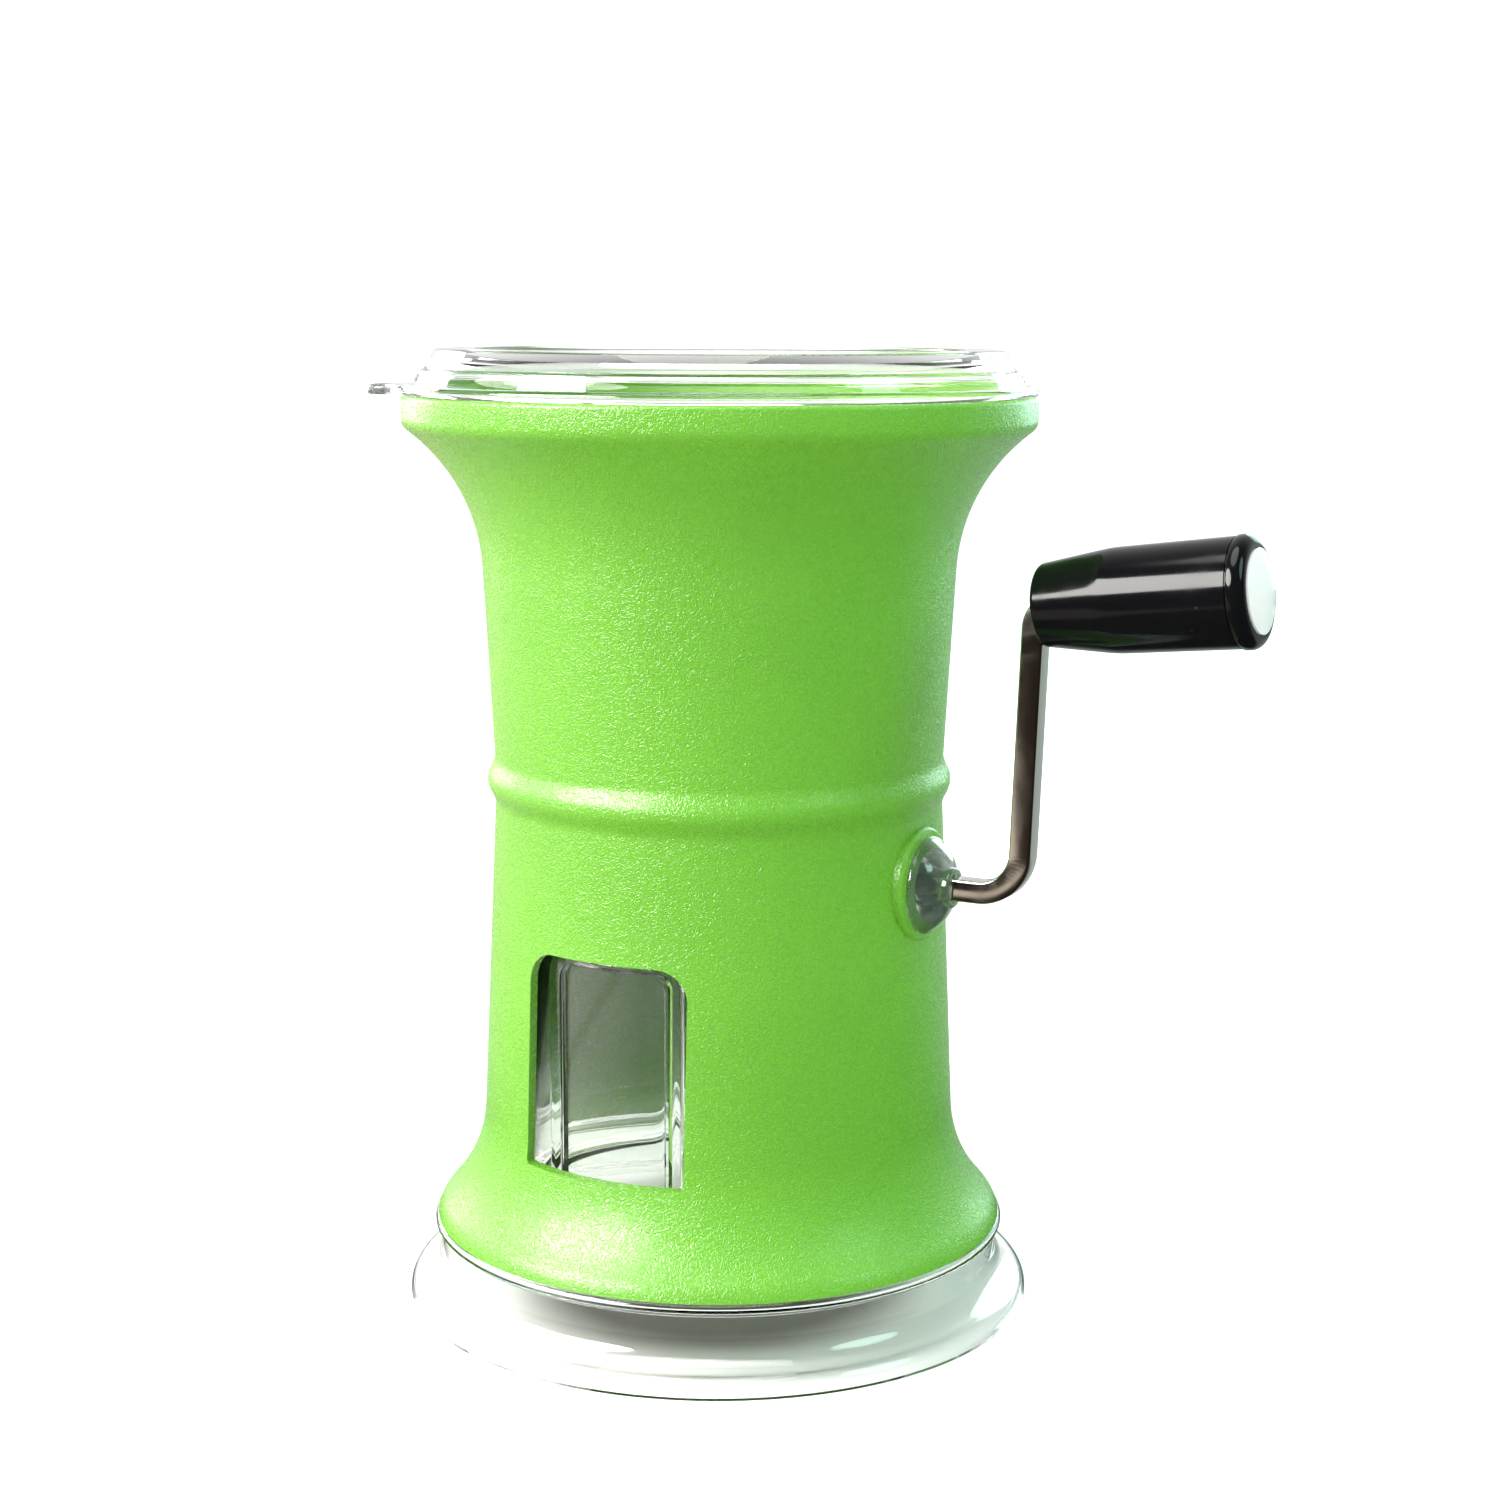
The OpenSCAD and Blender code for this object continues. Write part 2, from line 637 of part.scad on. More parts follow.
module box_screws() {
    color("silver") for (x = [-1, 1], y = [-1, 1])
        translate([x * lug_screw_x, y * lug_screw_y, throat_z - lug_t])
            pan_screw(screw_r, screw_l - end_gap, screw_head_r, screw_head_h);
}

// One comb, on the +Y side: a finger reaches in over every spacer
module comb() {
    slot_y = blade_r + tooth_gap / 2;
    tip_y = spacer_r + finger_gap;
    translate([0, 0, comb_z - comb_t]) linear_extrude(comb_t) difference() {
        union() {
            translate([-box_in_x + end_gap, slot_y]) square([2 * (box_in_x - end_gap), comb_y - slot_y]);
            for (i = [0:blades]) {
                x = (i - blades / 2) * pitch;
                translate([x - finger_w / 2, tip_y + finger_w / 2]) square([finger_w, slot_y - tip_y]);
                translate([x, tip_y + finger_w / 2]) circle(finger_w / 2);
            }
        }
        for (x = comb_screw_x)
            translate([x, comb_screw_y]) circle(screw_r + 2 * seat_gap);
    }
}

module comb_front() {
    color("lightsteelblue") mirror([0, 1, 0]) comb();
}

module comb_rear() {
    color("lightsteelblue") comb();
}

module comb_screws() {
    color("silver") for (x = comb_screw_x, y = [-1, 1])
        translate([x, y * comb_screw_y, comb_z - comb_t])
            pan_screw(screw_r, screw_l - end_gap, screw_head_r, screw_head_h);
}

// Flanged sleeve in an end wall of the box, its flange outside
module bearing() {
    difference() {
        union() {
            cylinder(r = bearing_r, h = box_end_t);
            translate([0, 0, box_end_t]) cylinder(r = bearing_r + bearing_flange_out, h = bearing_flange_t);
        }
        translate([0, 0, -past]) cylinder(r = run_r, h = box_end_t + bearing_flange_t + 2 * past);
    }
}

module bearing_near() {
    color("ivory") along_shaft(box_in_x) bearing();
}

module bearing_far() {
    color("ivory") mirror([1, 0, 0]) along_shaft(box_in_x) bearing();
}

// Clear domed bush in the shell's boss
module crank_bush() {
    run = bush_flange_r - bush_step - bush_collar_r;
    out = [bush_dome_h, run] / norm([bush_dome_h, run]);
    dome = [for (i = [0:steps]) let (t = i / steps)
        [bush_collar_r + run * (1 - t), boss_x + bush_flange_t + bush_dome_h * t]
            + bush_bulge * sin(180 * t) * out];
    color("whitesmoke", 0.5) along_shaft(0) rotate_extrude() polygon(concat(
        [[run_r, bush_in_x], [bush_shank_r, bush_in_x], [bush_shank_r, boss_x],
         [bush_flange_r, boss_x], [bush_flange_r, boss_x + bush_flange_t]],
        dome,
        [[bush_collar_r, collar_x], [run_r, collar_x]]));
}

module rod_bend(r, turn) {
    rotate([90, 0, 0]) rotate_extrude(angle = turn) translate([r, 0]) rod_section(rod_w, rod_chamfer);
}

module crank_rod() {
    color("dimgray") difference() {
        union() {
            along_shaft(rod_end_x) linear_extrude(bend_x - rod_end_x + lap) rod_section(rod_w, rod_chamfer);
            translate([bend_x, 0, shaft_z + bend_low]) rotate([0, 90, 0]) rod_bend(bend_low, 90 - arm_lean);
            translate([arm_base[0], 0, arm_base[1]]) rotate([0, arm_lean, 0]) translate([0, 0, -lap])
                linear_extrude(arm_l + 2 * lap) rod_section(rod_w, rod_chamfer);
            translate([high_c[0], 0, high_c[1]]) rotate([0, -90 - grip_tilt, 0])
                rod_bend(bend_high, 90 - arm_lean - grip_tilt);
            along_grip(-lap) linear_extrude(pin_l + lap) rod_section(rod_w, rod_chamfer);
        }
        along_shaft(rod_end_x - past) cylinder(r = rod_screw_r + seat_gap, h = rod_screw_l + past);
        along_grip(pin_l - rod_screw_l) cylinder(r = rod_screw_r + seat_gap, h = rod_screw_l + past);
    }
}

module shaft_washer() {
    color("silver") along_shaft(rod_end_x - washer_t) flat_washer(washer_r, rod_screw_r + seat_gap, washer_t);
}

module shaft_screw() {
    color("silver") along_shaft(rod_end_x - washer_t)
        pan_screw(rod_screw_r, rod_screw_l + washer_t - end_gap, screw_head_r, screw_head_h);
}

// Toothed disc, number i on the shaft, every other one turned by half a tooth
module cutter_blade(i) {
    tooth = 360 / teeth;
    hook = [
        [blade_root_r, 0], [blade_r, tooth_lead],
        [blade_r, tooth_lead + tooth_tip], [blade_root_r, tooth_back]];
    outline = [for (k = [0:teeth - 1], p = hook)
        let (a = tooth * (k + p[1] + (i % 2) / 2)) p[0] * [cos(a), sin(a)]];
    color("lightgray") along_shaft((i - (blades + 1) / 2) * pitch - blade_t / 2) linear_extrude(blade_t)
        difference() {
            polygon(outline);
            square(rod_w + 2 * seat_gap, center = true);
        }
}

module blade_spacer(i) {
    color("ivory") along_shaft((i - 1 - blades / 2) * pitch - spacer_l / 2) difference() {
        cylinder(r = spacer_r, h = spacer_l);
        translate([0, 0, spacer_l / 2])
            cube([rod_w + 2 * seat_gap, rod_w + 2 * seat_gap, spacer_l + 2 * past], center = true);
    }
}

// Grip that turns on the rod's end: a taper, a long barrel and a rounded end collar
module grip() {
    collar_s = grip_end - grip_collar_l;
    collar_r = grip_big_r + grip_collar_out;
    nose = collar_r - cap_r - grip_flat;
    mouth_r = grip_small_r - grip_mouth;
    color("black") along_grip(0) difference() {
        rotate_extrude() polygon(concat(
            [[0, -grip_back]],
            arc([grip_small_r - grip_edge, grip_edge - grip_back], grip_edge, -90, 0, few),
            [[grip_mid_r, grip_taper_l - grip_back], [grip_big_r, collar_s],
             [grip_big_r - grip_collar_out, collar_s + grip_collar_out],
             [collar_r, collar_s + 2 * grip_collar_out]],
            arc([collar_r - nose, grip_end - nose], nose, 0, 90),
            [[0, grip_end]]));
        translate([0, 0, -grip_back - past]) cylinder(r = run_r, h = grip_l + past);
        translate([0, 0, -grip_back - lap]) cylinder(r1 = mouth_r, r2 = run_r, h = grip_back + past);
        translate([0, 0, pin_l - end_gap]) cylinder(r = grip_well_r, h = grip_well + past);
        translate([0, 0, grip_end - cap_seat]) cylinder(r = cap_r + seat_gap, h = cap_seat + past);
    }
}

module grip_cap() {
    dome_r = (cap_r * cap_r + cap_dome * cap_dome) / (2 * cap_dome);
    plug_r = grip_well_r - seat_gap;
    rise = asin((dome_r - cap_dome) / dome_r);
    color("white") along_grip(grip_end - cap_seat) difference() {
        rotate_extrude() polygon(concat(
            [[0, -cap_plug_h], [plug_r, -cap_plug_h], [plug_r, 0], [cap_r, 0], [cap_r, cap_side]],
            arc([0, cap_side + cap_dome - dome_r], dome_r, rise, 90)));
        translate([0, 0, -cap_plug_h - past]) cylinder(r = plug_r - cap_plug_wall, h = cap_plug_h + past);
    }
}

module grip_washer() {
    color("silver") along_grip(pin_l) flat_washer(washer_r, rod_screw_r + seat_gap, washer_t);
}

module grip_screw() {
    color("silver") along_grip(pin_l + washer_t) rotate([180, 0, 0])
        pan_screw(rod_screw_r, rod_screw_l + washer_t - end_gap, screw_head_r, screw_head_h);
}

// Clear lid: flange on the rim, stepped slope, dished top, plug inside the rim, lift tab
module lid() {
    base_r = rim_r - lid_base_in;
    top_r = base_r - lid_lean_in;
    dish_r = top_r - dish_border;
    flange_z = rim_z + lid_flange_h;
    top_z = rim_z + lid_h;
    under_z = top_z - dish_h - lid_t;
    plug_r = rim_r - wall - lift_gap;
    plug_z = rim_z - lid_plug_h;
    mid_r = (base_r + top_r + lid_round) / 2;
    mid_z = (flange_z + top_z - lid_round) / 2;
    slope = atan2(lid_lean_in, lid_h - lid_flange_h);
    half = lid_flange_h / 2;
    tab_r = rim_r + tab_l;
    tab_t = lid_flange_h * tab_share;
    color("whitesmoke", 0.5) {
        rotate_extrude() polygon(concat(
            [[0, top_z - dish_h], [dish_r, top_z - dish_h], [dish_r + 2 * dish_h, top_z]],
            arc([top_r, top_z - lid_round], lid_round, 90, slope, few),
            [[mid_r - lid_step, mid_z + lid_step], [mid_r + lid_step, mid_z], [base_r, flange_z]],
            arc([rim_r - half, rim_z + half], half, 90, -90),
            [[plug_r, rim_z], [plug_r, plug_z], [plug_r - lid_t, plug_z], [plug_r - lid_t, rim_z],
             [base_r - lid_t - lid_step, flange_z - lid_step], [mid_r - lid_t, mid_z],
             [top_r - lid_step, under_z], [0, under_z]]));
        rotate([0, 0, tab_turn]) translate([0, 0, rim_z + (lid_flange_h - tab_t) / 2]) linear_extrude(tab_t)
            difference() {
                union() {
                    translate([0, -tab_w / 2]) square([tab_r - tab_round, tab_w]);
                    translate([0, -tab_w / 2 + tab_round]) square([tab_r, tab_w - 2 * tab_round]);
                    for (side = [-1, 1])
                        translate([tab_r - tab_round, side * (tab_w / 2 - tab_round)]) circle(tab_round);
                }
                circle(rim_r - half);
            }
    }
}

collector();
body_shell();
hopper();
cutter_box();
box_screws();
comb_front();
comb_rear();
comb_screws();
bearing_near();
bearing_far();
crank_bush();
crank_rod();
shaft_washer();
shaft_screw();
grip();
grip_cap();
grip_washer();
grip_screw();
lid();
for (i = [1:blades]) cutter_blade(i);
for (i = [1:blades + 1]) blade_spacer(i);
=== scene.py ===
import json
import math

import bmesh
import bpy
from mathutils import Matrix, Vector


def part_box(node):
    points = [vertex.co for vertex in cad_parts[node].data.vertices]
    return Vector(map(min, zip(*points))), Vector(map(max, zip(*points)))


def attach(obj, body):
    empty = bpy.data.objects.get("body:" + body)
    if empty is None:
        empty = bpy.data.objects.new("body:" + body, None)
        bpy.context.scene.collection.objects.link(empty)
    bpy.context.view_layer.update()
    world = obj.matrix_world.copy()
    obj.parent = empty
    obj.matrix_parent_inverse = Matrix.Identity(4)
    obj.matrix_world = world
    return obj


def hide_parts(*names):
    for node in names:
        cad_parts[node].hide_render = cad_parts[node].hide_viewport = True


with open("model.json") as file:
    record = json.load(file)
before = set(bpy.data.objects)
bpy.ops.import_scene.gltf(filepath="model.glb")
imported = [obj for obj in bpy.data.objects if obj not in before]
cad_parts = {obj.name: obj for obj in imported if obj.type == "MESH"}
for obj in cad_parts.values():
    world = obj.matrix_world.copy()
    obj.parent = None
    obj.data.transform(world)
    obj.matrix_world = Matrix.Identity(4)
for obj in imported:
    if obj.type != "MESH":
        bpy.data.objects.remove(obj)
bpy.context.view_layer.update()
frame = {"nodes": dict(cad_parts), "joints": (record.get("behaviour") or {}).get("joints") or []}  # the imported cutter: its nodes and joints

mm = 0.001
weld = 0.002 * mm
touch = 0.01  # how near counts as lying on a face, in millimetres
nodes = frame["nodes"]
joints = {joint["name"]: joint for joint in frame["joints"]}
shaftZ = joints["crank_turn"]["pos_m"][2] / mm
gripStart = Vector(joints["grip_turn"]["pos_m"]) / mm
gripAxis = Vector(joints["grip_turn"]["axis"]).normalized()
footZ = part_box("body_shell")[0].z / mm
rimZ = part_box("body_shell")[1].z / mm
print("frame loaded:", len(nodes), "nodes")


# Modelling helpers, lengths in millimetres

def deselectAll():
    if bpy.context.object and bpy.context.object.mode != "OBJECT":
        bpy.ops.object.mode_set(mode="OBJECT")
    bpy.ops.object.select_all(action="DESELECT")


def editPiece(piece, selectMode="EDGE"):
    deselectAll()
    piece.select_set(True)
    bpy.context.view_layer.objects.active = piece
    bpy.ops.object.mode_set(mode="EDIT")
    bpy.ops.mesh.select_mode(type=selectMode)
    bpy.ops.mesh.select_all(action="DESELECT")
    return bmesh.from_edit_mesh(piece.data)


def arc(centre, radius, start, end, steps=10):  # degrees, anticlockwise from the first axis
    angles = [math.radians(start + (end - start) * i / steps) for i in range(steps + 1)]
    return [(centre[0] + radius * math.cos(a), centre[1] + radius * math.sin(a)) for a in angles]


def drawOutline(name, points):
    deselectAll()
    bpy.ops.mesh.primitive_plane_add(size=mm, location=points[0] * mm)
    piece = bpy.context.object
    piece.name = name
    bpy.ops.object.transform_apply(location=True, rotation=True, scale=True)
    bpy.ops.object.mode_set(mode="EDIT")
    bpy.ops.mesh.select_mode(type="VERT")
    bpy.ops.mesh.select_all(action="SELECT")
    bpy.ops.mesh.merge(type="CENTER")  # the plane shrinks to the outline's first point
    for here, there in zip(points, points[1:]):
        bpy.ops.mesh.extrude_region_move(TRANSFORM_OT_translate={"value": (there - here) * mm})
    return piece


def turned(name, outline, closed, steps=160, start=Vector((0, 0, 0)), axis=Vector((0, 0, 1))):
    across = Vector((0, 0, 1)) if axis.x > 0.5 else Vector((1, 0, 0))
    across = (across - axis * across.dot(axis)).normalized()
    points = [start + across * r + axis * along for r, along in outline]
    piece = drawOutline(name, points + points[:1] if closed else points)
    bpy.ops.mesh.select_all(action="SELECT")
    bpy.ops.mesh.remove_doubles(threshold=weld)
    bpy.ops.mesh.spin(steps=steps, angle=2 * math.pi, center=start * mm, axis=axis)
    bpy.ops.mesh.select_all(action="SELECT")
    bpy.ops.mesh.remove_doubles(threshold=weld)
    bpy.ops.mesh.normals_make_consistent(inside=False)
    bpy.ops.object.mode_set(mode="OBJECT")
    return piece


def block(name, low, high):
    deselectAll()
    low, high = Vector(low), Vector(high)
    bpy.ops.mesh.primitive_cube_add(size=1, location=(low + high) / 2 * mm, scale=(high - low) * mm)
    bpy.ops.object.transform_apply(location=True, rotation=True, scale=True)
    bpy.context.object.name = name
    return bpy.context.object


def rod(name, radius, low, high, direction="Z", sides=96):
    deselectAll()
    low, high = Vector(low), Vector(high)
    turn = {"Z": (0, 0, 0), "X": (0, math.pi / 2, 0)}[direction]
    bpy.ops.mesh.primitive_cylinder_add(
        vertices=sides, radius=radius * mm, depth=(high - low).length * mm,
        location=(low + high) / 2 * mm, rotation=turn)
    bpy.ops.object.transform_apply(location=True, rotation=True, scale=True)
    bpy.context.object.name = name
    return bpy.context.object


def combine(piece, tool, operation):
    deselectAll()
    piece.select_set(True)
    bpy.context.view_layer.objects.active = piece
    step = piece.modifiers.new("combine", "BOOLEAN")
    step.operation = operation
    step.object = tool
    step.solver = "EXACT"
    bpy.ops.object.modifier_apply(modifier=step.name)
    bpy.data.objects.remove(tool)


def bevelEdges(piece, wanted, width, segments, sharperThan=20):  # wanted(middle in mm, edge)
    mesh = editPiece(piece)
    for edge in mesh.edges:
        sharp = len(edge.link_faces) == 2 and edge.calc_face_angle() > math.radians(sharperThan)
        middle = (edge.verts[0].co + edge.verts[1].co) / 2 / mm
        edge.select = sharp and wanted(middle, edge)
    mesh.select_flush_mode()
    bmesh.update_edit_mesh(piece.data)
    bpy.ops.mesh.bevel(offset=width * mm, segments=segments, affect="EDGES", clamp_overlap=True)
    bpy.ops.object.mode_set(mode="OBJECT")


def level(edge):
    return abs(edge.verts[1].co.z - edge.verts[0].co.z) < weld


def alongY(edge):
    way = (edge.verts[1].co - edge.verts[0].co).normalized()
    return abs(way.y) > 0.9


def panelBlock(name, width, low, high, near, far, lowRound, highRound):  # upright panel with round corners
    panel = block(name, (-width / 2, far, low), (width / 2, near, high))
    middle = (low + high) / 2
    bevelEdges(panel, lambda at, edge: alongY(edge) and at.z > middle, highRound, 10)
    bevelEdges(panel, lambda at, edge: alongY(edge) and at.z < middle and abs(at.x) > width / 4, lowRound, 4)
    return panel


def dress(piece, material, body, slot, *replacedNodes, smoothAngle=32):
    deselectAll()
    piece.select_set(True)
    bpy.context.view_layer.objects.active = piece
    bpy.ops.object.shade_smooth_by_angle(angle=math.radians(smoothAngle))
    piece.data.materials.clear()
    piece.data.materials.append(material)
    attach(piece, body)
    if replacedNodes:
        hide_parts(*replacedNodes)
    print("piece:", piece.name, len(piece.data.polygons), "faces")


# Materials

def newGroup(name, inputs, outputs):
    group = bpy.data.node_groups.new(name, "ShaderNodeTree")
    for label, kind, value in inputs:
        socket = group.interface.new_socket(name=label, in_out="INPUT", socket_type=kind)
        if value is not None:
            socket.default_value = value
    for label, kind in outputs:
        group.interface.new_socket(name=label, in_out="OUTPUT", socket_type=kind)
    return group, group.nodes.new("NodeGroupInput"), group.nodes.new("NodeGroupOutput")


def mathNode(tree, operation, first, second=None):
    node = tree.nodes.new("ShaderNodeMath")
    node.operation = operation
    for socket, value in zip(node.inputs, (first, second)):
        if value is None:
            continue
        if isinstance(value, (int, float)):
            socket.default_value = value
        else:
            tree.links.new(value, socket)
    return node.outputs[0]


def noiseNode(tree, vector, scale, detail=2.0, roughness=0.5, distortion=0.0):
    node = tree.nodes.new("ShaderNodeTexNoise")
    node.inputs["Detail"].default_value = detail
    node.inputs["Roughness"].default_value = roughness
    node.inputs["Distortion"].default_value = distortion
    tree.links.new(vector, node.inputs["Vector"])
    if isinstance(scale, (int, float)):
        node.inputs["Scale"].default_value = scale
    else:
        tree.links.new(scale, node.inputs["Scale"])
    return node.outputs["Fac"]


def rangeNode(tree, value, fromLow, fromHigh, toLow, toHigh):
    node = tree.nodes.new("ShaderNodeMapRange")
    node.interpolation_type = "SMOOTHSTEP"
    for label, number in (("From Min", fromLow), ("From Max", fromHigh), ("To Min", toLow), ("To Max", toHigh)):
        node.inputs[label].default_value = number
    tree.links.new(value, node.inputs["Value"])
    return node.outputs["Result"]


grainMix = {"ridge": 0.75, "pebble": 0.25, "ridgeHalf": 0.14, "pebbleFiner": 2.1, "mottleFiner": 0.02}


def makeGrainGroup():  # etched mould grain: worm-like ridges with a fine pebble over them
    group, entry, leave = newGroup(
        "mouldGrain",
        [("Vector", "NodeSocketVector", None), ("Size", "NodeSocketFloat", 1200.0)],
        [("Height", "NodeSocketFloat"), ("Mottle", "NodeSocketFloat")])
    vector, size = entry.outputs["Vector"], entry.outputs["Size"]
    worm = noiseNode(group, vector, size, 1.5, 0.5, 0.6)
    ridge = mathNode(group, "ABSOLUTE", mathNode(group, "SUBTRACT", worm, 0.5))
    ridge = rangeNode(group, ridge, 0.0, grainMix["ridgeHalf"], 0.0, 1.0)
    ridge = mathNode(group, "MULTIPLY", ridge, grainMix["ridge"])
    pebble = noiseNode(group, vector, mathNode(group, "MULTIPLY", size, grainMix["pebbleFiner"]))
    height = mathNode(group, "ADD", ridge, mathNode(group, "MULTIPLY", pebble, grainMix["pebble"]))
    mottle = noiseNode(group, vector, mathNode(group, "MULTIPLY", size, grainMix["mottleFiner"]), 3.0)
    group.links.new(height, leave.inputs["Height"])
    group.links.new(mottle, leave.inputs["Mottle"])
    return group


handlingMix = {"smearSize": 45.0, "smearFrom": (0.42, 0.68), "speckSize": 160.0, "speckEdge": (0.03, 0.06)}


def makeHandlingGroup():  # faint smears and specks from handling
    group, entry, leave = newGroup(
        "handling",
        [("Vector", "NodeSocketVector", None), ("Low", "NodeSocketFloat", 0.05), ("High", "NodeSocketFloat", 0.12)],
        [("Roughness", "NodeSocketFloat"), ("Specks", "NodeSocketFloat")])
    smear = noiseNode(group, entry.outputs["Vector"], handlingMix["smearSize"], 4.0, 0.6, 0.8)
    smear = rangeNode(group, smear, *handlingMix["smearFrom"], 0.0, 1.0)
    spread = mathNode(group, "SUBTRACT", entry.outputs["High"], entry.outputs["Low"])
    rough = mathNode(group, "ADD", entry.outputs["Low"], mathNode(group, "MULTIPLY", smear, spread))
    speck = group.nodes.new("ShaderNodeTexVoronoi")
    speck.inputs["Scale"].default_value = handlingMix["speckSize"]
    group.links.new(entry.outputs["Vector"], speck.inputs["Vector"])
    specks = rangeNode(group, speck.outputs["Distance"], *handlingMix["speckEdge"], 1.0, 0.0)
    group.links.new(rough, leave.inputs["Roughness"])
    group.links.new(specks, leave.inputs["Specks"])
    return group


grainGroup = makeGrainGroup()
handlingGroup = makeHandlingGroup()


def newMaterial(name):
    material = bpy.data.materials.new(name)
    material.use_nodes = True
    tree = material.node_tree
    coords = tree.nodes.new("ShaderNodeTexCoord").outputs["Object"]
    return material, tree, tree.nodes["Principled BSDF"], coords


def addGroup(tree, group, coords, **values):
    node = tree.nodes.new("ShaderNodeGroup")
    node.node_tree = group
    tree.links.new(coords, node.inputs["Vector"])
    for label, value in values.items():
        node.inputs[label].default_value = value
    return node.outputs


def addBump(tree, shader, height, strength, distance):
    bump = tree.nodes.new("ShaderNodeBump")
    bump.inputs["Strength"].default_value = strength
    bump.inputs["Distance"].default_value = distance * mm
    tree.links.new(height, bump.inputs["Height"])
    tree.links.new(bump.outputs["Normal"], shader.inputs["Normal"])


def mixColours(tree, factor, first, second):  # either colour may be a constant or a link
    mix = tree.nodes.new("ShaderNodeMix")
    mix.data_type = "RGBA"
    tree.links.new(factor, mix.inputs[0])
    for colour, socket in ((first, mix.inputs[6]), (second, mix.inputs[7])):
        if isinstance(colour, (tuple, list)):
            socket.default_value = (*colour, 1)
        else:
            tree.links.new(colour, socket)
    return mix.outputs[2]


def vectorNode(tree, operation, vector, second=None):
    node = tree.nodes.new("ShaderNodeVectorMath")
    node.operation = operation
    tree.links.new(vector, node.inputs[0])
    if second is not None:
        node.inputs[1].default_value = second
    return node.outputs["Vector" if operation == "MULTIPLY" else "Value"]


def setInputs(shader, values):
    for label, value in values.items():
        shader.inputs[label].default_value = value


def handledMaterial(name, look):  # smears change the roughness, specks the colour
    material, tree, shader, coords = newMaterial(name)
    handled = addGroup(tree, handlingGroup, coords, Low=look["rough"][0], High=look["rough"][1])
    tree.links.new(handled["Roughness"], shader.inputs["Roughness"])
    if "speck" in look:
        tint = mixColours(tree, handled["Specks"], look["colour"], look["speck"])
        tree.links.new(tint, shader.inputs["Base Color"])
    setInputs(shader, look["set"])
    return material, tree, shader, coords


greenLook = {
    "light": (0.136, 0.368, 0.03), "deep": (0.124, 0.343, 0.027), "mottle": (0.3, 0.7),
    "grainSize": 1350.0, "grainDepth": 0.08, "grainSpan": (0.1, 0.9), "rough": (0.19, 0.28), "set": {"IOR": 1.5},
}


def greenPlastic():
    material, tree, shader, coords = newMaterial("greenPlastic")
    grain = addGroup(tree, grainGroup, coords, Size=greenLook["grainSize"])
    mottle = rangeNode(tree, grain["Mottle"], *greenLook["mottle"], 0.0, 1.0)
    tree.links.new(mixColours(tree, mottle, greenLook["deep"], greenLook["light"]), shader.inputs["Base Color"])
    rough = rangeNode(tree, grain["Height"], *greenLook["grainSpan"], *greenLook["rough"])
    tree.links.new(rough, shader.inputs["Roughness"])
    setInputs(shader, greenLook["set"])
    addBump(tree, shader, grain["Height"], 1.0, greenLook["grainDepth"])
    return material


lightThrough = 0.87  # share of the light that passes straight through clear plastic


def letLightThrough(tree, shader, turnsInside):  # light caught in a wall comes out after so many turns
    ray = tree.nodes.new("ShaderNodeLightPath").outputs
    through = mathNode(tree, "MAXIMUM", ray["Is Shadow Ray"], ray["Is Diffuse Ray"])
    through = mathNode(tree, "MULTIPLY", through, lightThrough)
    caught = mathNode(tree, "GREATER_THAN", ray["Ray Depth"], turnsInside + 0.5)
    passed = mathNode(tree, "MAXIMUM", through, caught)
    tree.links.new(mathNode(tree, "SUBTRACT", 1.0, passed), shader.inputs["Alpha"])


clearLook = {
    "rough": (0.012, 0.03), "plain": (0.985, 0.99, 0.98),
    # painted shade: the dark colour clear plastic is given where it is seen at a slant
    "paintedEdgeShade": (0.42, 0.44, 0.42), "paintedEdgeFrom": 0.55, "paintedEdgeBlend": 0.3,
    "frost": (0.07, 0.07, 0.07), "frostRough": 0.3, "set": {"Transmission Weight": 1.0, "IOR": 1.49},
}
tabFrost = (67.8, 68.1)  # the tab's end beyond this radius is frosted for the finger and tinted dark grey


def clearPlastic(name, turnsInside, frostFrom=None):  # painted shade: edges seen at a slant are painted darker, for the dark outlines of thick clear plastic
    material, tree, shader, coords = newMaterial(name)
    low, high = clearLook["rough"]
    rough = addGroup(tree, handlingGroup, coords, Low=low, High=high)["Roughness"]
    # painted shade: the colour darkens where the surface is seen at a slant
    paintedEdgeShade = tree.nodes.new("ShaderNodeLayerWeight")
    paintedEdgeShade.inputs["Blend"].default_value = clearLook["paintedEdgeBlend"]
    edge = rangeNode(tree, paintedEdgeShade.outputs["Facing"], clearLook["paintedEdgeFrom"], 1.0, 0.0, 1.0)
    tint = mixColours(tree, edge, clearLook["plain"], clearLook["paintedEdgeShade"])
    if frostFrom:
        reach = vectorNode(tree, "LENGTH", vectorNode(tree, "MULTIPLY", coords, (1, 1, 0)))
        frost = rangeNode(tree, reach, frostFrom[0] * mm, frostFrom[1] * mm, 0.0, 1.0)
        rough = mathNode(tree, "ADD", rough, mathNode(tree, "MULTIPLY", frost, clearLook["frostRough"]))
        tint = mixColours(tree, frost, tint, clearLook["frost"])
    tree.links.new(rough, shader.inputs["Roughness"])
    tree.links.new(tint, shader.inputs["Base Color"])
    setInputs(shader, clearLook["set"])
    letLightThrough(tree, shader, turnsInside)
    return material


milkyLook = {
    "rough": (0.15, 0.21),
    "set": {"Base Color": (0.3, 0.35, 0.31, 1), "Transmission Weight": 0.88, "IOR": 1.5,
            "Coat Weight": 1.0, "Coat Roughness": 0.04},
}


def milkyPlastic(turnsInside):
    material, tree, shader, coords = handledMaterial("milkyPlastic", milkyLook)
    letLightThrough(tree, shader, turnsInside)
    return material


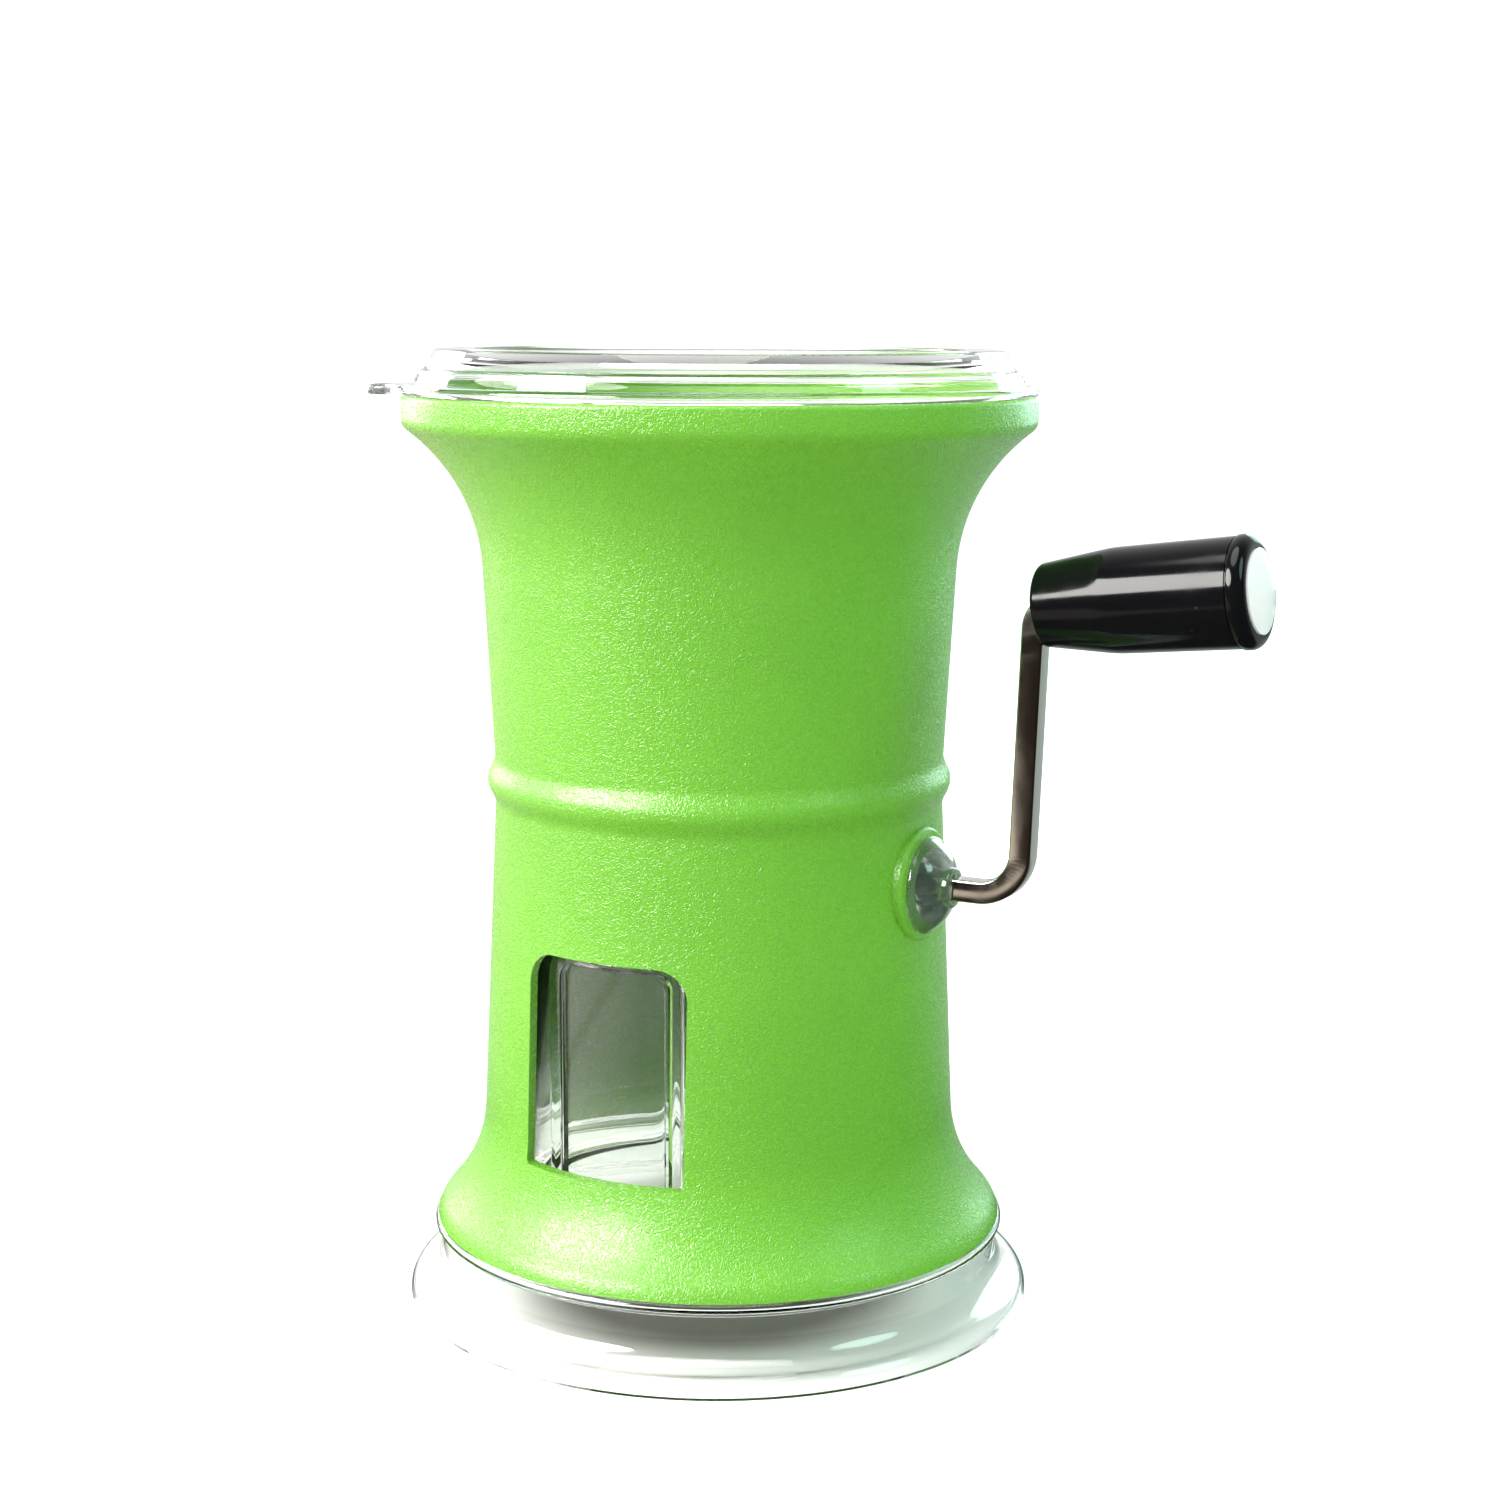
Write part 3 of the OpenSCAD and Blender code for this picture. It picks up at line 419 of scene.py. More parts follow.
blackLook = {
    "rough": (0.1, 0.17), "colour": (0.004, 0.004, 0.005), "speck": (0.02, 0.02, 0.02),
    "set": {"Specular IOR Level": 0.19},
}
whiteLook = {"rough": (0.12, 0.2), "colour": (0.74, 0.67, 0.7), "speck": (0.62, 0.56, 0.58), "set": {"IOR": 1.5}}
nylonLook = {
    "dull": (0.72, 0.71, 0.66), "pale": (0.8, 0.79, 0.75), "grainSize": 1600.0, "bump": 0.12, "grainDepth": 0.05,
    "set": {"Roughness": 0.42},
}


def nylon():
    material, tree, shader, coords = newMaterial("nylon")
    grain = addGroup(tree, grainGroup, coords, Size=nylonLook["grainSize"])
    tint = mixColours(tree, grain["Mottle"], nylonLook["dull"], nylonLook["pale"])
    tree.links.new(tint, shader.inputs["Base Color"])
    setInputs(shader, nylonLook["set"])
    addBump(tree, shader, grain["Height"], nylonLook["bump"], nylonLook["grainDepth"])
    return material


platedLook = {
    "rough": (0.1, 0.24), "colour": (0.56, 0.53, 0.51), "speck": (0.3, 0.28, 0.26),
    "pitSize": 1500.0, "bump": 0.12, "pitDepth": 0.03, "set": {"Metallic": 1.0},
}


def platedSteel():
    material, tree, shader, coords = handledMaterial("platedSteel", platedLook)
    pits = noiseNode(tree, coords, platedLook["pitSize"], 3.0, 0.6)
    addBump(tree, shader, pits, platedLook["bump"], platedLook["pitDepth"])
    return material


groundLook = {
    "lineSize": 2200.0, "shade": 0.82, "span": (0.3, 0.7), "rough": (0.2, 0.36), "bump": 0.08, "lineDepth": 0.02,
    "set": {"Metallic": 1.0},
}


def groundSteel(name, colour, stretch):
    material, tree, shader, coords = newMaterial(name)
    mapping = tree.nodes.new("ShaderNodeMapping")
    mapping.inputs["Scale"].default_value = stretch
    tree.links.new(coords, mapping.inputs["Vector"])
    lines = noiseNode(tree, mapping.outputs["Vector"], groundLook["lineSize"], 2.0)
    tint = mixColours(tree, lines, [groundLook["shade"] * c for c in colour], colour)
    tree.links.new(tint, shader.inputs["Base Color"])
    tree.links.new(rangeNode(tree, lines, *groundLook["span"], *groundLook["rough"]), shader.inputs["Roughness"])
    setInputs(shader, groundLook["set"])
    addBump(tree, shader, lines, groundLook["bump"], groundLook["lineDepth"])
    return material


green = greenPlastic()
clearLid = clearPlastic("clearLid", turnsInside=5, frostFrom=tabFrost)
clearCup = clearPlastic("clearCup", turnsInside=9)
milky = milkyPlastic(turnsInside=5)
black = handledMaterial("blackPlastic", blackLook)[0]
white = handledMaterial("whitePlastic", whiteLook)[0]
bright = platedSteel()
innerNylon = nylon()
bladeSteel = groundSteel("bladeSteel", (0.68, 0.68, 0.68), (1.0, 1.0, 0.08))
screwSteel = groundSteel("screwSteel", (0.6, 0.6, 0.61), (1.0, 1.0, 1.0))
print("materials made")


# Shell: turned wall with flares, ring and ledge, then the window and the crank boss

shell = {
    "rimR": 65.0, "rimBand": 4.6, "rimRound": 2.9, "rimEdge": 0.9, "rimEdgeIn": 0.4, "topFlare": 37.4,
    "waistR": 46.6, "ringH": 93.4, "ringOut": 1.8, "ringHalf": 5.2, "upperLean": 3.0, "lowerLean": 2.5,
    "footFlare": 31.5, "hemRound": 7.8, "hemLean": 12.7, "hemR": 60.0, "wall": 2.4,
    "ledgeH": 113.0, "ledgeW": 2.4, "ledgeT": 2.0, "plainBelow": (60, 80, 95), "plainAbove": (125, 140),
    "windowW": 36.4, "windowH": 44.0, "windowSill": 19.0, "windowTopR": 6.5, "windowLowR": 1.0, "windowEdge": 0.6,
    "windowNear": -30.0, "windowFar": -70.0,
    "bossR": 11.7, "bossOut": 0.7, "bossEdge": 0.9, "bossSunk": 0.8, "bushHoleR": 6.05, "bushHoleReach": 20.0,
    "steps": 192,
}
ringZ = footZ + shell["ringH"]
upperTan = math.tan(math.radians(shell["upperLean"]))
lowerTan = math.tan(math.radians(shell["lowerLean"]))


def wallR(z):
    return shell["waistR"] + ((z - ringZ) * upperTan if z > ringZ else (ringZ - z) * lowerTan)


def flareTurn(cornerR, cornerZ, hollow, rounding, lean, wallTan):  # where the hollow arc runs into the corner's arc
    reach = shell["waistR"] + (cornerZ + hollow * math.sin(lean)) * wallTan + hollow * math.cos(lean) - cornerR
    return lean + math.acos(reach * math.cos(lean) / (hollow + rounding))


def footSide(inset, steps=14):
    hollow, rounding, lean = shell["footFlare"], shell["hemRound"], math.radians(shell["lowerLean"])
    hem = math.radians(shell["hemLean"])
    corner = (shell["hemR"] - rounding * math.cos(hem), footZ - rounding * math.sin(hem))
    turn = flareTurn(corner[0], ringZ - corner[1], hollow, rounding, lean, lowerTan)
    bendZ = corner[1] + (hollow + rounding) * math.sin(turn) - hollow * math.sin(lean)
    middle = (wallR(bendZ) + hollow * math.cos(lean), bendZ + hollow * math.sin(lean))
    start = math.degrees(math.asin((footZ - corner[1]) / (rounding - inset)))
    return (arc(corner, rounding - inset, start, math.degrees(turn), steps)
            + arc(middle, hollow + inset, 180 + math.degrees(turn), 180 + shell["lowerLean"], steps)[1:])


def rimSide(inset, steps=14):
    hollow, rounding, lean = shell["topFlare"], shell["rimRound"], math.radians(shell["upperLean"])
    corner = (shell["rimR"] - rounding, rimZ - shell["rimBand"])
    turn = flareTurn(corner[0], corner[1] - ringZ, hollow, rounding, lean, upperTan)
    bendZ = corner[1] - (hollow + rounding) * math.sin(turn) + hollow * math.sin(lean)
    middle = (wallR(bendZ) + hollow * math.cos(lean), bendZ - hollow * math.sin(lean))
    return (arc(middle, hollow + inset, 180 - shell["upperLean"], 180 - math.degrees(turn), steps)
            + arc(corner, rounding - inset, -math.degrees(turn), 0, steps // 2)[1:])


def ringSide(steps=12):
    side = []
    for i in range(-steps, steps + 1):
        z = ringZ + shell["ringHalf"] * i / steps
        side.append((wallR(z) + shell["ringOut"] * (1 + math.cos(math.pi * i / steps)) / 2, z))
    return side


def shellOutline():
    wall, edge, edgeIn, rimR = shell["wall"], shell["rimEdge"], shell["rimEdgeIn"], shell["rimR"]
    ledgeZ = footZ + shell["ledgeH"]
    innerR = wallR(ledgeZ) - wall
    ledgeR = innerR - shell["ledgeW"]
    inside = rimSide(wall)[::-1] + [
        (innerR, ledgeZ), (ledgeR, ledgeZ), (ledgeR, ledgeZ - shell["ledgeT"]),
        (innerR, ledgeZ - shell["ledgeT"] - shell["ledgeW"]), (shell["waistR"] - wall, ringZ)]
    below, above = ([(wallR(z), z) for z in shell[key]] for key in ("plainBelow", "plainAbove"))
    return (footSide(0) + below + ringSide() + above + rimSide(0)
            + arc((rimR - edge, rimZ - edge), edge, 0, 90, 5)
            + arc((rimR - wall + edgeIn, rimZ - edgeIn), edgeIn, 90, 180, 3)
            + inside + footSide(wall)[::-1])


def makeShell():
    piece = turned("shell", shellOutline(), True, shell["steps"])
    boss = wallR(shaftZ) + shell["bossOut"]
    sunk = wallR(shaftZ) - shell["wall"] * shell["bossSunk"]
    disc = rod("bossDisc", shell["bossR"], (sunk, 0, shaftZ), (boss, 0, shaftZ), "X")
    bevelEdges(disc, lambda at, edge: at.x > boss - touch, shell["bossEdge"], 4)
    combine(piece, disc, "UNION")
    fromX, toX = boss - shell["bushHoleReach"], boss + shell["bushHoleReach"]
    combine(piece, rod("bushHole", shell["bushHoleR"], (fromX, 0, shaftZ), (toX, 0, shaftZ), "X"), "DIFFERENCE")
    sill = footZ + shell["windowSill"]
    head = sill + shell["windowH"]
    opening = panelBlock("windowOpening", shell["windowW"], sill, head, shell["windowNear"], shell["windowFar"],
                         shell["windowLowR"], shell["windowTopR"])
    combine(piece, opening, "DIFFERENCE")

    def onWindow(at, edge):
        inFront = at.y < 0 and abs(at.x) < shell["windowW"] / 2 + 1 and sill - 1 < at.z < head + 1
        return inFront and math.hypot(at.x, at.y) > wallR(at.z) - shell["wall"] / 2
    bevelEdges(piece, onWindow, shell["windowEdge"], 3, 45)
    dress(piece, green, "housing", "green_plastic", "body_shell")


makeShell()


# Collector: foot, ring, spigot and cup turned in one, with the pane raised on the cup

collector = {
    "footR": 66.0, "footEdge": 0.8, "footRound": 4.0, "neckR": 59.2, "neckRound": 5.0, "floorT": 2.3, "lipOut": 0.6,
    "wall": 1.8, "spigotH": 3.5, "cupRound": 3.0, "liftGap": 0.4, "cupTop": 83.0,
    "floorEdge": 1.0, "neckGap": 0.4, "lipStart": -80.0, "cupLip": 0.6, "columnH": 100.0,
    "paneOut": 1.5, "paneW": 30.4, "paneR": 6.2, "paneLowR": 0.5, "paneTop": 80.8, "paneNear": -20.0, "paneFar": -70.0,
    "paneBorder": 3.0, "paneEdge": 0.65, "paneBead": 0.7, "steps": 160,
}
paneFaceR = wallR(collector["cupTop"]) - shell["wall"] - collector["liftGap"]
cupR = paneFaceR - collector["paneOut"]
cupInR = cupR - collector["wall"]


def collectorOutline():
    wall, floorT = collector["wall"], collector["floorT"]
    footRound, neckRound = collector["footRound"], collector["neckRound"]
    both = footRound + neckRound
    slope = math.acos((both - collector["footR"] + collector["neckR"]) / both)
    turn = math.degrees(slope)
    low = (collector["footR"] - footRound, collector["footEdge"])
    high = (collector["neckR"] + neckRound, low[1] + both * math.sin(slope))
    floorZ = footZ - floorT
    gap = shell["wall"] + collector["liftGap"]
    top = footZ + collector["spigotH"]
    spigotOut = [p for p in footSide(gap) if p[1] < top]
    spigotIn = [p for p in footSide(gap + wall) if p[1] < top]
    neckIn, edge, lip = collector["neckR"] - wall, collector["floorEdge"], collector["cupTop"] - collector["cupLip"]
    return ([(0, floorZ), (neckIn - edge, floorZ), (neckIn, floorZ - edge)]
            + arc(high, neckRound + wall, 180, 180 + turn) + arc(low, footRound - wall, turn, 0)[1:]
            + [(collector["footR"] - wall, 0), (collector["footR"], 0)]
            + arc(low, footRound, 0, turn) + arc(high, neckRound, 180 + turn, 180)[1:]
            + [(collector["neckR"], floorZ - collector["neckGap"])]
            + arc((shell["hemR"] + collector["lipOut"] - floorT / 2, footZ - floorT / 2), floorT / 2,
                  collector["lipStart"], 90)
            + spigotOut + spigotIn[::-1]
            + [(cupR, footZ), (cupR, lip)] + arc((cupR - wall / 2, lip), wall / 2, 0, 180, 6)
            + arc((cupInR - collector["cupRound"], footZ + collector["cupRound"]), collector["cupRound"], 0, -90)
            + [(0, footZ)])


def column(name, radius):  # upright, taller than the cup
    return rod(name, radius, (0, 0, 0), (0, 0, collector["columnH"]), sides=collector["steps"])


def makeCollector():
    piece = turned("collector", collectorOutline(), False, collector["steps"])
    wall, border, paneTop = collector["wall"], collector["paneBorder"], collector["paneTop"]
    depth = collector["paneNear"], collector["paneFar"], collector["paneLowR"]
    low = footZ - collector["floorT"] / 2
    pane = panelBlock("paneRaised", collector["paneW"], low, paneTop, *depth, collector["paneR"])
    combine(pane, column("paneFace", paneFaceR), "INTERSECT")
    combine(pane, column("paneBack", cupR - wall / 2), "DIFFERENCE")
    combine(piece, pane, "UNION")
    recess = panelBlock("paneRecess", collector["paneW"] - 2 * border, footZ + collector["cupRound"], paneTop - border,
                        *depth, collector["paneR"] - border)
    hollow = recess.copy()
    hollow.data = recess.data.copy()
    bpy.context.scene.collection.objects.link(hollow)
    combine(recess, column("recessFace", paneFaceR - wall), "INTERSECT")
    combine(piece, recess, "DIFFERENCE")
    combine(hollow, column("beadFoot", paneFaceR - collector["paneBead"]), "DIFFERENCE")
    combine(piece, hollow, "DIFFERENCE")  # leaves the border standing as a bead

    def onPane(at, edge):
        return at.y < -30 and at.z > footZ + 1 and math.hypot(at.x, at.y) > cupR + 0.5
    bevelEdges(piece, onPane, collector["paneEdge"], 4, 40)
    dress(piece, clearCup, "base", "clear_plastic", "collector")


makeCollector()


# Lid: flange, stepped slope, dished top, plug and lift tab

lid = {
    "flangeH": 2.2, "height": 9.4, "baseIn": 2.4, "leanIn": 5.4, "round": 1.6, "wall": 1.8, "step": 0.5,
    "dishBorder": 7.2, "dishH": 0.8, "dishCurve": ((0, 0), (0.4, 0.15), (1.6, 0.85), (2, 1)),
    "plugH": 5.0, "plugGap": 0.4, "plugEdge": 0.5, "tabRoot": 4.0,
    "tabL": 6.5, "tabW": 18.0, "tabShare": 0.86, "tabRound": 5.0, "tabTurn": 210.0, "tabEdge": 0.85, "steps": 160,
}


def lidOutline():
    flangeZ, topZ = rimZ + lid["flangeH"], rimZ + lid["height"]
    baseR = shell["rimR"] - lid["baseIn"]
    topR = baseR - lid["leanIn"]
    dishR, dishZ = topR - lid["dishBorder"], topZ - lid["dishH"]
    plugR, plugZ = shell["rimR"] - shell["wall"] - lid["plugGap"], rimZ - lid["plugH"]
    middleR, middleZ = (baseR + topR + lid["round"]) / 2, (flangeZ + topZ - lid["round"]) / 2
    slope = math.degrees(math.atan2(lid["leanIn"], lid["height"] - lid["flangeH"]))
    step, wall, half = lid["step"], lid["wall"], lid["flangeH"] / 2
    plugIn, plugEdge = plugR - wall, lid["plugEdge"]
    dish = [(dishR + out * lid["dishH"], dishZ + up * lid["dishH"]) for out, up in lid["dishCurve"]]
    return ([(0, dishZ)] + dish + arc((topR, topZ - lid["round"]), lid["round"], 90, slope, 8)
            + [(middleR - step, middleZ + step), (middleR + step, middleZ), (baseR, flangeZ)]
            + arc((shell["rimR"] - half, rimZ + half), half, 90, -90, 10)
            + [(plugR, rimZ), (plugR, plugZ + plugEdge), (plugR - plugEdge, plugZ), (plugIn, plugZ), (plugIn, rimZ),
               (baseR - wall - step, flangeZ - step), (middleR - wall, middleZ),
               (topR - step, dishZ - wall), (0, dishZ - wall)])


def makeLid():
    piece = turned("lid", lidOutline(), False, lid["steps"])
    reach, width, thick = shell["rimR"] + lid["tabL"], lid["tabW"], lid["flangeH"] * lid["tabShare"]
    low = rimZ + (lid["flangeH"] - thick) / 2
    tab = block("liftTab", (shell["rimR"] - lid["tabRoot"], -width / 2, low), (reach, width / 2, low + thick))
    bevelEdges(tab, lambda at, edge: at.x > reach - touch and abs(at.y) > width / 2 - touch, lid["tabRound"], 8)
    bevelEdges(tab, lambda at, edge: at.x > shell["rimR"] and level(edge), lid["tabEdge"], 3)
    tab.data.transform(Matrix.Rotation(math.radians(lid["tabTurn"]), 4, "Z"))
    combine(piece, tab, "UNION")
    dress(piece, clearLid, "cover", "clear_plastic", "lid")


makeLid()


# Crank: clear bush in the boss, square rod bent twice, grip and cap

bush = {"flangeR": 9.9, "flangeT": 1.2, "domeH": 4.0, "collarR": 4.1, "collarH": 1.2, "shankR": 6.0, "past": 1.4,
        "boreR": 2.99, "edge": 0.45, "step": 0.4, "bulge": 0.7, "domeSteps": 16, "steps": 96}
bossX = wallR(shaftZ) + shell["bossOut"]
collarX = bossX + bush["flangeT"] + bush["domeH"] + bush["collarH"]


def makeBush():
    innerX = wallR(shaftZ) - shell["wall"] - bush["past"]
    faceX, edge, flangeR = bossX + bush["flangeT"], bush["edge"], bush["flangeR"]
    run = flangeR - bush["step"] - bush["collarR"]
    slope = math.hypot(run, bush["domeH"])
    dome = []
    for i in range(bush["domeSteps"] + 1):
        part = i / bush["domeSteps"]
        swell = bush["bulge"] * math.sin(math.pi * part) / slope
        dome.append((bush["collarR"] + run * (1 - part) + swell * bush["domeH"],
                     faceX + bush["domeH"] * part + swell * run))
    shankR, boreR = bush["shankR"], bush["boreR"]
    outline = ([(boreR, innerX), (shankR - edge, innerX), (shankR, innerX + edge), (shankR, bossX)]
               + arc((flangeR - edge, bossX + edge), edge, -90, 0, 3)
               + arc((flangeR - edge, faceX - edge), edge, 0, 90, 3) + dome
               + arc((bush["collarR"] - edge, collarX - edge), edge, 0, 90, 4) + [(boreR, collarX)])
    piece = turned("crankBush", outline, True, bush["steps"], Vector((0, 0, shaftZ)), Vector((1, 0, 0)))
    dress(piece, milky, "housing", "clear_plastic", "crank_bush")


makeBush()

crank = {
    "side": 4.5, "corner": 0.42, "endX": -31.0, "stub": 5.6, "bendLow": 9.0, "bendHigh": 5.0, "lean": 2.1, "pinL": 33.8,
    "bendSteps": 16,
}


def makeCrank():
    tilt = math.degrees(math.asin(gripAxis.z))
    bendX = collarX + crank["stub"]
    deselectAll()
    bpy.ops.mesh.primitive_plane_add(size=crank["side"] * mm, location=Vector((crank["endX"], 0, shaftZ)) * mm,
                                     rotation=(0, math.pi / 2, 0))
    piece = bpy.context.object
    piece.name = "crankRod"
    bpy.ops.object.transform_apply(location=True, rotation=True, scale=True)
    bpy.ops.object.mode_set(mode="EDIT")
    bpy.ops.mesh.select_mode(type="VERT")
    bpy.ops.mesh.select_all(action="SELECT")
    bpy.ops.mesh.bevel(offset=crank["corner"] * mm, segments=3, affect="VERTICES")
    bpy.ops.mesh.select_mode(type="FACE")
    bpy.ops.mesh.select_all(action="SELECT")

    def pull(length, way):
        bpy.ops.mesh.extrude_region_move(TRANSFORM_OT_translate={"value": way * length * mm})

    def bend(centre, degrees):
        bpy.ops.mesh.spin(steps=crank["bendSteps"], angle=math.radians(degrees), center=centre * mm, axis=(0, 1, 0))

    lean, rise = math.radians(crank["lean"]), math.radians(tilt)
    armWay = Vector((math.sin(lean), 0, math.cos(lean)))
    lowCentre = Vector((bendX, 0, shaftZ + crank["bendLow"]))
    armBase = lowCentre + crank["bendLow"] * Vector((math.cos(lean), 0, -math.sin(lean)))
    highCentre = gripStart - crank["bendHigh"] * Vector((-math.sin(rise), 0, math.cos(rise)))
    armTop = highCentre - crank["bendHigh"] * Vector((math.cos(lean), 0, -math.sin(lean)))
    pull(bendX - crank["endX"], Vector((1, 0, 0)))
    bend(lowCentre, 90 - crank["lean"])
    pull((armTop - armBase).length, armWay)
    bend(highCentre, crank["lean"] + tilt - 90)
    pull(crank["pinL"], gripAxis)
    bpy.ops.mesh.select_all(action="SELECT")
    bpy.ops.mesh.remove_doubles(threshold=weld)
    bpy.ops.mesh.normals_make_consistent(inside=False)
    bpy.ops.object.mode_set(mode="OBJECT")
    dress(piece, bright, "crank", "rod_chrome", "crank_rod")


makeCrank()

grip = {
    "length": 43.2, "back": 2.7, "smallR": 8.25, "midR": 10.2, "taperL": 14.7, "bigR": 10.65, "collarL": 3.6,
    "taperSoft": ((2.2, 2.2), (0.8, 0.7)), "barrelSoft": ((0.02, 0.6), (0.06, 2.2)),  # radius change, distance
    "collarOut": 0.25, "groove": (0.5, 1.2, 1.5, 2.0), "grooveEdge": 0.1, "edge": 0.9, "flat": 0.6,
    "mouthR": 5.95, "mouthL": 0.9, "boreR": 2.99, "wellR": 6.5, "well": 6.7, "wellFloor": 0.5,
    "gap": 0.05, "seatEdge": 0.2,
    "capR": 8.1, "capSeat": 1.0, "capSide": 1.3, "capDome": 1.8, "capPlugH": 1.6, "capPlugWall": 1.2, "capEdge": 1.0,
    "steps": 96,
}
gripEnd = grip["length"] - grip["back"]


def makeGrip():
    back, out, edge, taperEnd = grip["back"], grip["collarOut"], grip["edge"], grip["taperL"] - grip["back"]
    collarS, collarR = gripEnd - grip["collarL"], grip["bigR"] + out
    nose = collarR - grip["capR"] - grip["flat"]
    seatR, wellZ, seatEdge = grip["capR"] + grip["gap"], gripEnd - grip["capSeat"], grip["seatEdge"]
    shoulder = wellZ - grip["well"] + grip["wellFloor"]
    grow = (grip["midR"] - grip["smallR"]) / grip["taperL"]
    groove = [collarS + share * out for share in grip["groove"]]
    outline = ([(grip["boreR"], grip["mouthL"]), (grip["mouthR"], -back)]
               + arc((grip["smallR"] - edge, edge - back), edge, -90, 0, 6)
               + [(grip["midR"] - grow * less, taperEnd - short) for less, short in grip["taperSoft"]]
               + [(grip["midR"] + more, taperEnd + past) for more, past in grip["barrelSoft"]]
               + [(grip["bigR"], collarS), (grip["bigR"] - out, groove[0]), (grip["bigR"] - out, groove[1]),
                  (collarR - grip["grooveEdge"], groove[2]), (collarR, groove[3])]
               + arc((collarR - nose, gripEnd - nose), nose, 0, 90, 12)
               + [(seatR + seatEdge, gripEnd), (seatR, gripEnd - seatEdge), (seatR, wellZ),
                  (grip["wellR"], wellZ), (grip["wellR"], shoulder), (grip["boreR"], shoulder)])
    piece = turned("grip", outline, True, grip["steps"], gripStart, gripAxis)
    dress(piece, black, "handle", "grip_black", "grip", smoothAngle=40)


def makeCap():
    capR, seat, dome, plugH = grip["capR"], gripEnd - grip["capSeat"], grip["capDome"], grip["capPlugH"]
    domeR = (capR ** 2 + dome ** 2) / (2 * dome)
    rise = math.degrees(math.asin((domeR - dome) / domeR))
    plugR = grip["wellR"] - grip["gap"]
    hollowR = plugR - grip["capPlugWall"]
    outline = ([(0, seat), (hollowR, seat), (hollowR, seat - plugH), (plugR, seat - plugH), (plugR, seat), (capR, seat),
                (capR, seat + grip["capSide"])]
               + arc((0, seat + grip["capSide"] + dome - domeR), domeR, rise + grip["capEdge"], 90, 16))
    outline[-1] = (0, outline[-1][1])
    piece = turned("gripCap", outline, False, grip["steps"], gripStart, gripAxis)
    dress(piece, white, "handle", "cap_white", "grip_cap")


makeGrip()
makeCap()


# CAD nodes that keep their shape

def paintNodes(material, *names):
    for name in names:
        for slot in nodes[name].material_slots:
            slot.material = material


blades = [name for name in nodes if name.startswith("cutter_blade")]
spacers = [name for name in nodes if name.startswith("blade_spacer")]
paintNodes(green, "hopper")
paintNodes(innerNylon, "cutter_box", "bearing_near", "bearing_far", *spacers)
paintNodes(bladeSteel, "comb_front", "comb_rear", *blades)
paintNodes(screwSteel, "box_screws", "comb_screws", "shaft_washer", "shaft_screw", "grip_washer", "grip_screw")
print("inner nodes painted")


# Studio: white table and backdrop, a dim room in front, soft lamps

studio = {
    "tableSize": 6.0, "tableDrop": 0.15, "tableWhite": (0.93, 0.93, 0.93), "tableBounce": (0.6, 0.59, 0.55),
    "tableMottle": 0.98, "mottleSize": 3.0, "tableSet": {"Roughness": 0.9, "Specular IOR Level": 0.0},
    # painted shade: a grey disc on the table under the clear foot, seen only through clear plastic
    "tableClear": (1.0, 1.0, 1.0), "paintedShadeUnderFoot": (0.22, 0.215, 0.19), "paintedShadeFrom": (0.031, 0.048),
    # painted reflections: the colours the table shows only to mirror rays, dim towards the front, grey behind, with a
    # painted lit patch
    "mirroredBack": (0.26, 0.26, 0.26), "mirroredDark": (0.012, 0.008, 0.006), "paintedLitPatch": (0.3, 0.25, 0.21),
    "darkFrom": (-0.15, -0.05), "litPatchSide": (0.12, 0.18), "litPatchEnd": (0.28, 0.34),
    "backdrop": 1.4, "softLeft": 1.85, "softRight": 0.9, "softSpan": (-0.9, 0.9),
    "warm": (1.0, 0.97, 0.94), "cool": (0.64, 1.0, 0.9),
    "throughDim": 0.45, "dimFrom": (0.0, 0.6), "flagFrom": (0.36, 0.56), "flagAbove": (0.5, 0.8), "flag": 0.14,
    "roomBright": 0.92, "roomDim": 0.015, "roomSpan": (-0.8, 0.1),
}
lamps = {  # turn from the front and lift in degrees, away and size in metres
    "key": {"turn": -82.0, "lift": 32.0, "away": 1.1, "size": (1.0, 1.0), "power": 21.0,
            "tint": "warm", "mirrored": False},
    "sheen": {"turn": -64.0, "lift": 31.0, "away": 1.1, "size": (1.0, 0.6), "power": 48.0,
              "tint": "warm", "soft": False},
    "top": {"turn": -30.0, "lift": 80.0, "away": 1.1, "size": (0.9, 0.9), "power": 12.0,
            "tint": "warm", "soft": False},
    "front": {"turn": -18.0, "lift": 62.0, "away": 1.1, "size": (0.6, 0.6), "power": 4.0,
              "tint": "warm", "mirrored": False},
    "right": {"turn": 66.0, "lift": 33.0, "away": 1.1, "size": (0.5, 0.5), "power": 3.5, "tint": "cool"},
    "backLeft": {"turn": -140.0, "lift": 15.0, "away": 1.2, "size": (0.7, 0.7), "power": 7.5, "tint": "warm"},
    "backRight": {"turn": 145.0, "lift": 15.0, "away": 1.2, "size": (0.7, 0.7), "power": 5.0, "tint": "cool"},
}
lampAim = Vector((0, 0, 0.1))
upWay = Vector((0, 0, 1))
camera = {
    "lens": 61.7, "sensor": 36.0, "azimuth": 29.5, "distance": 531.5, "height": 205.0,
    "yaw": 0.69, "pitch": 9.55, "roll": 0.23,
}
azimuth = math.radians(camera["azimuth"])
# Level directions, towards the camera at rest and to its right; the studio is laid out by them
frontWay = Vector((math.sin(azimuth), -math.cos(azimuth), 0))
rightWay = Vector((math.cos(azimuth), math.sin(azimuth), 0))


def leanNode(tree, vector, direction, *spans):  # by how far the vector points that way
    return rangeNode(tree, vectorNode(tree, "DOT_PRODUCT", vector, direction), *spans)


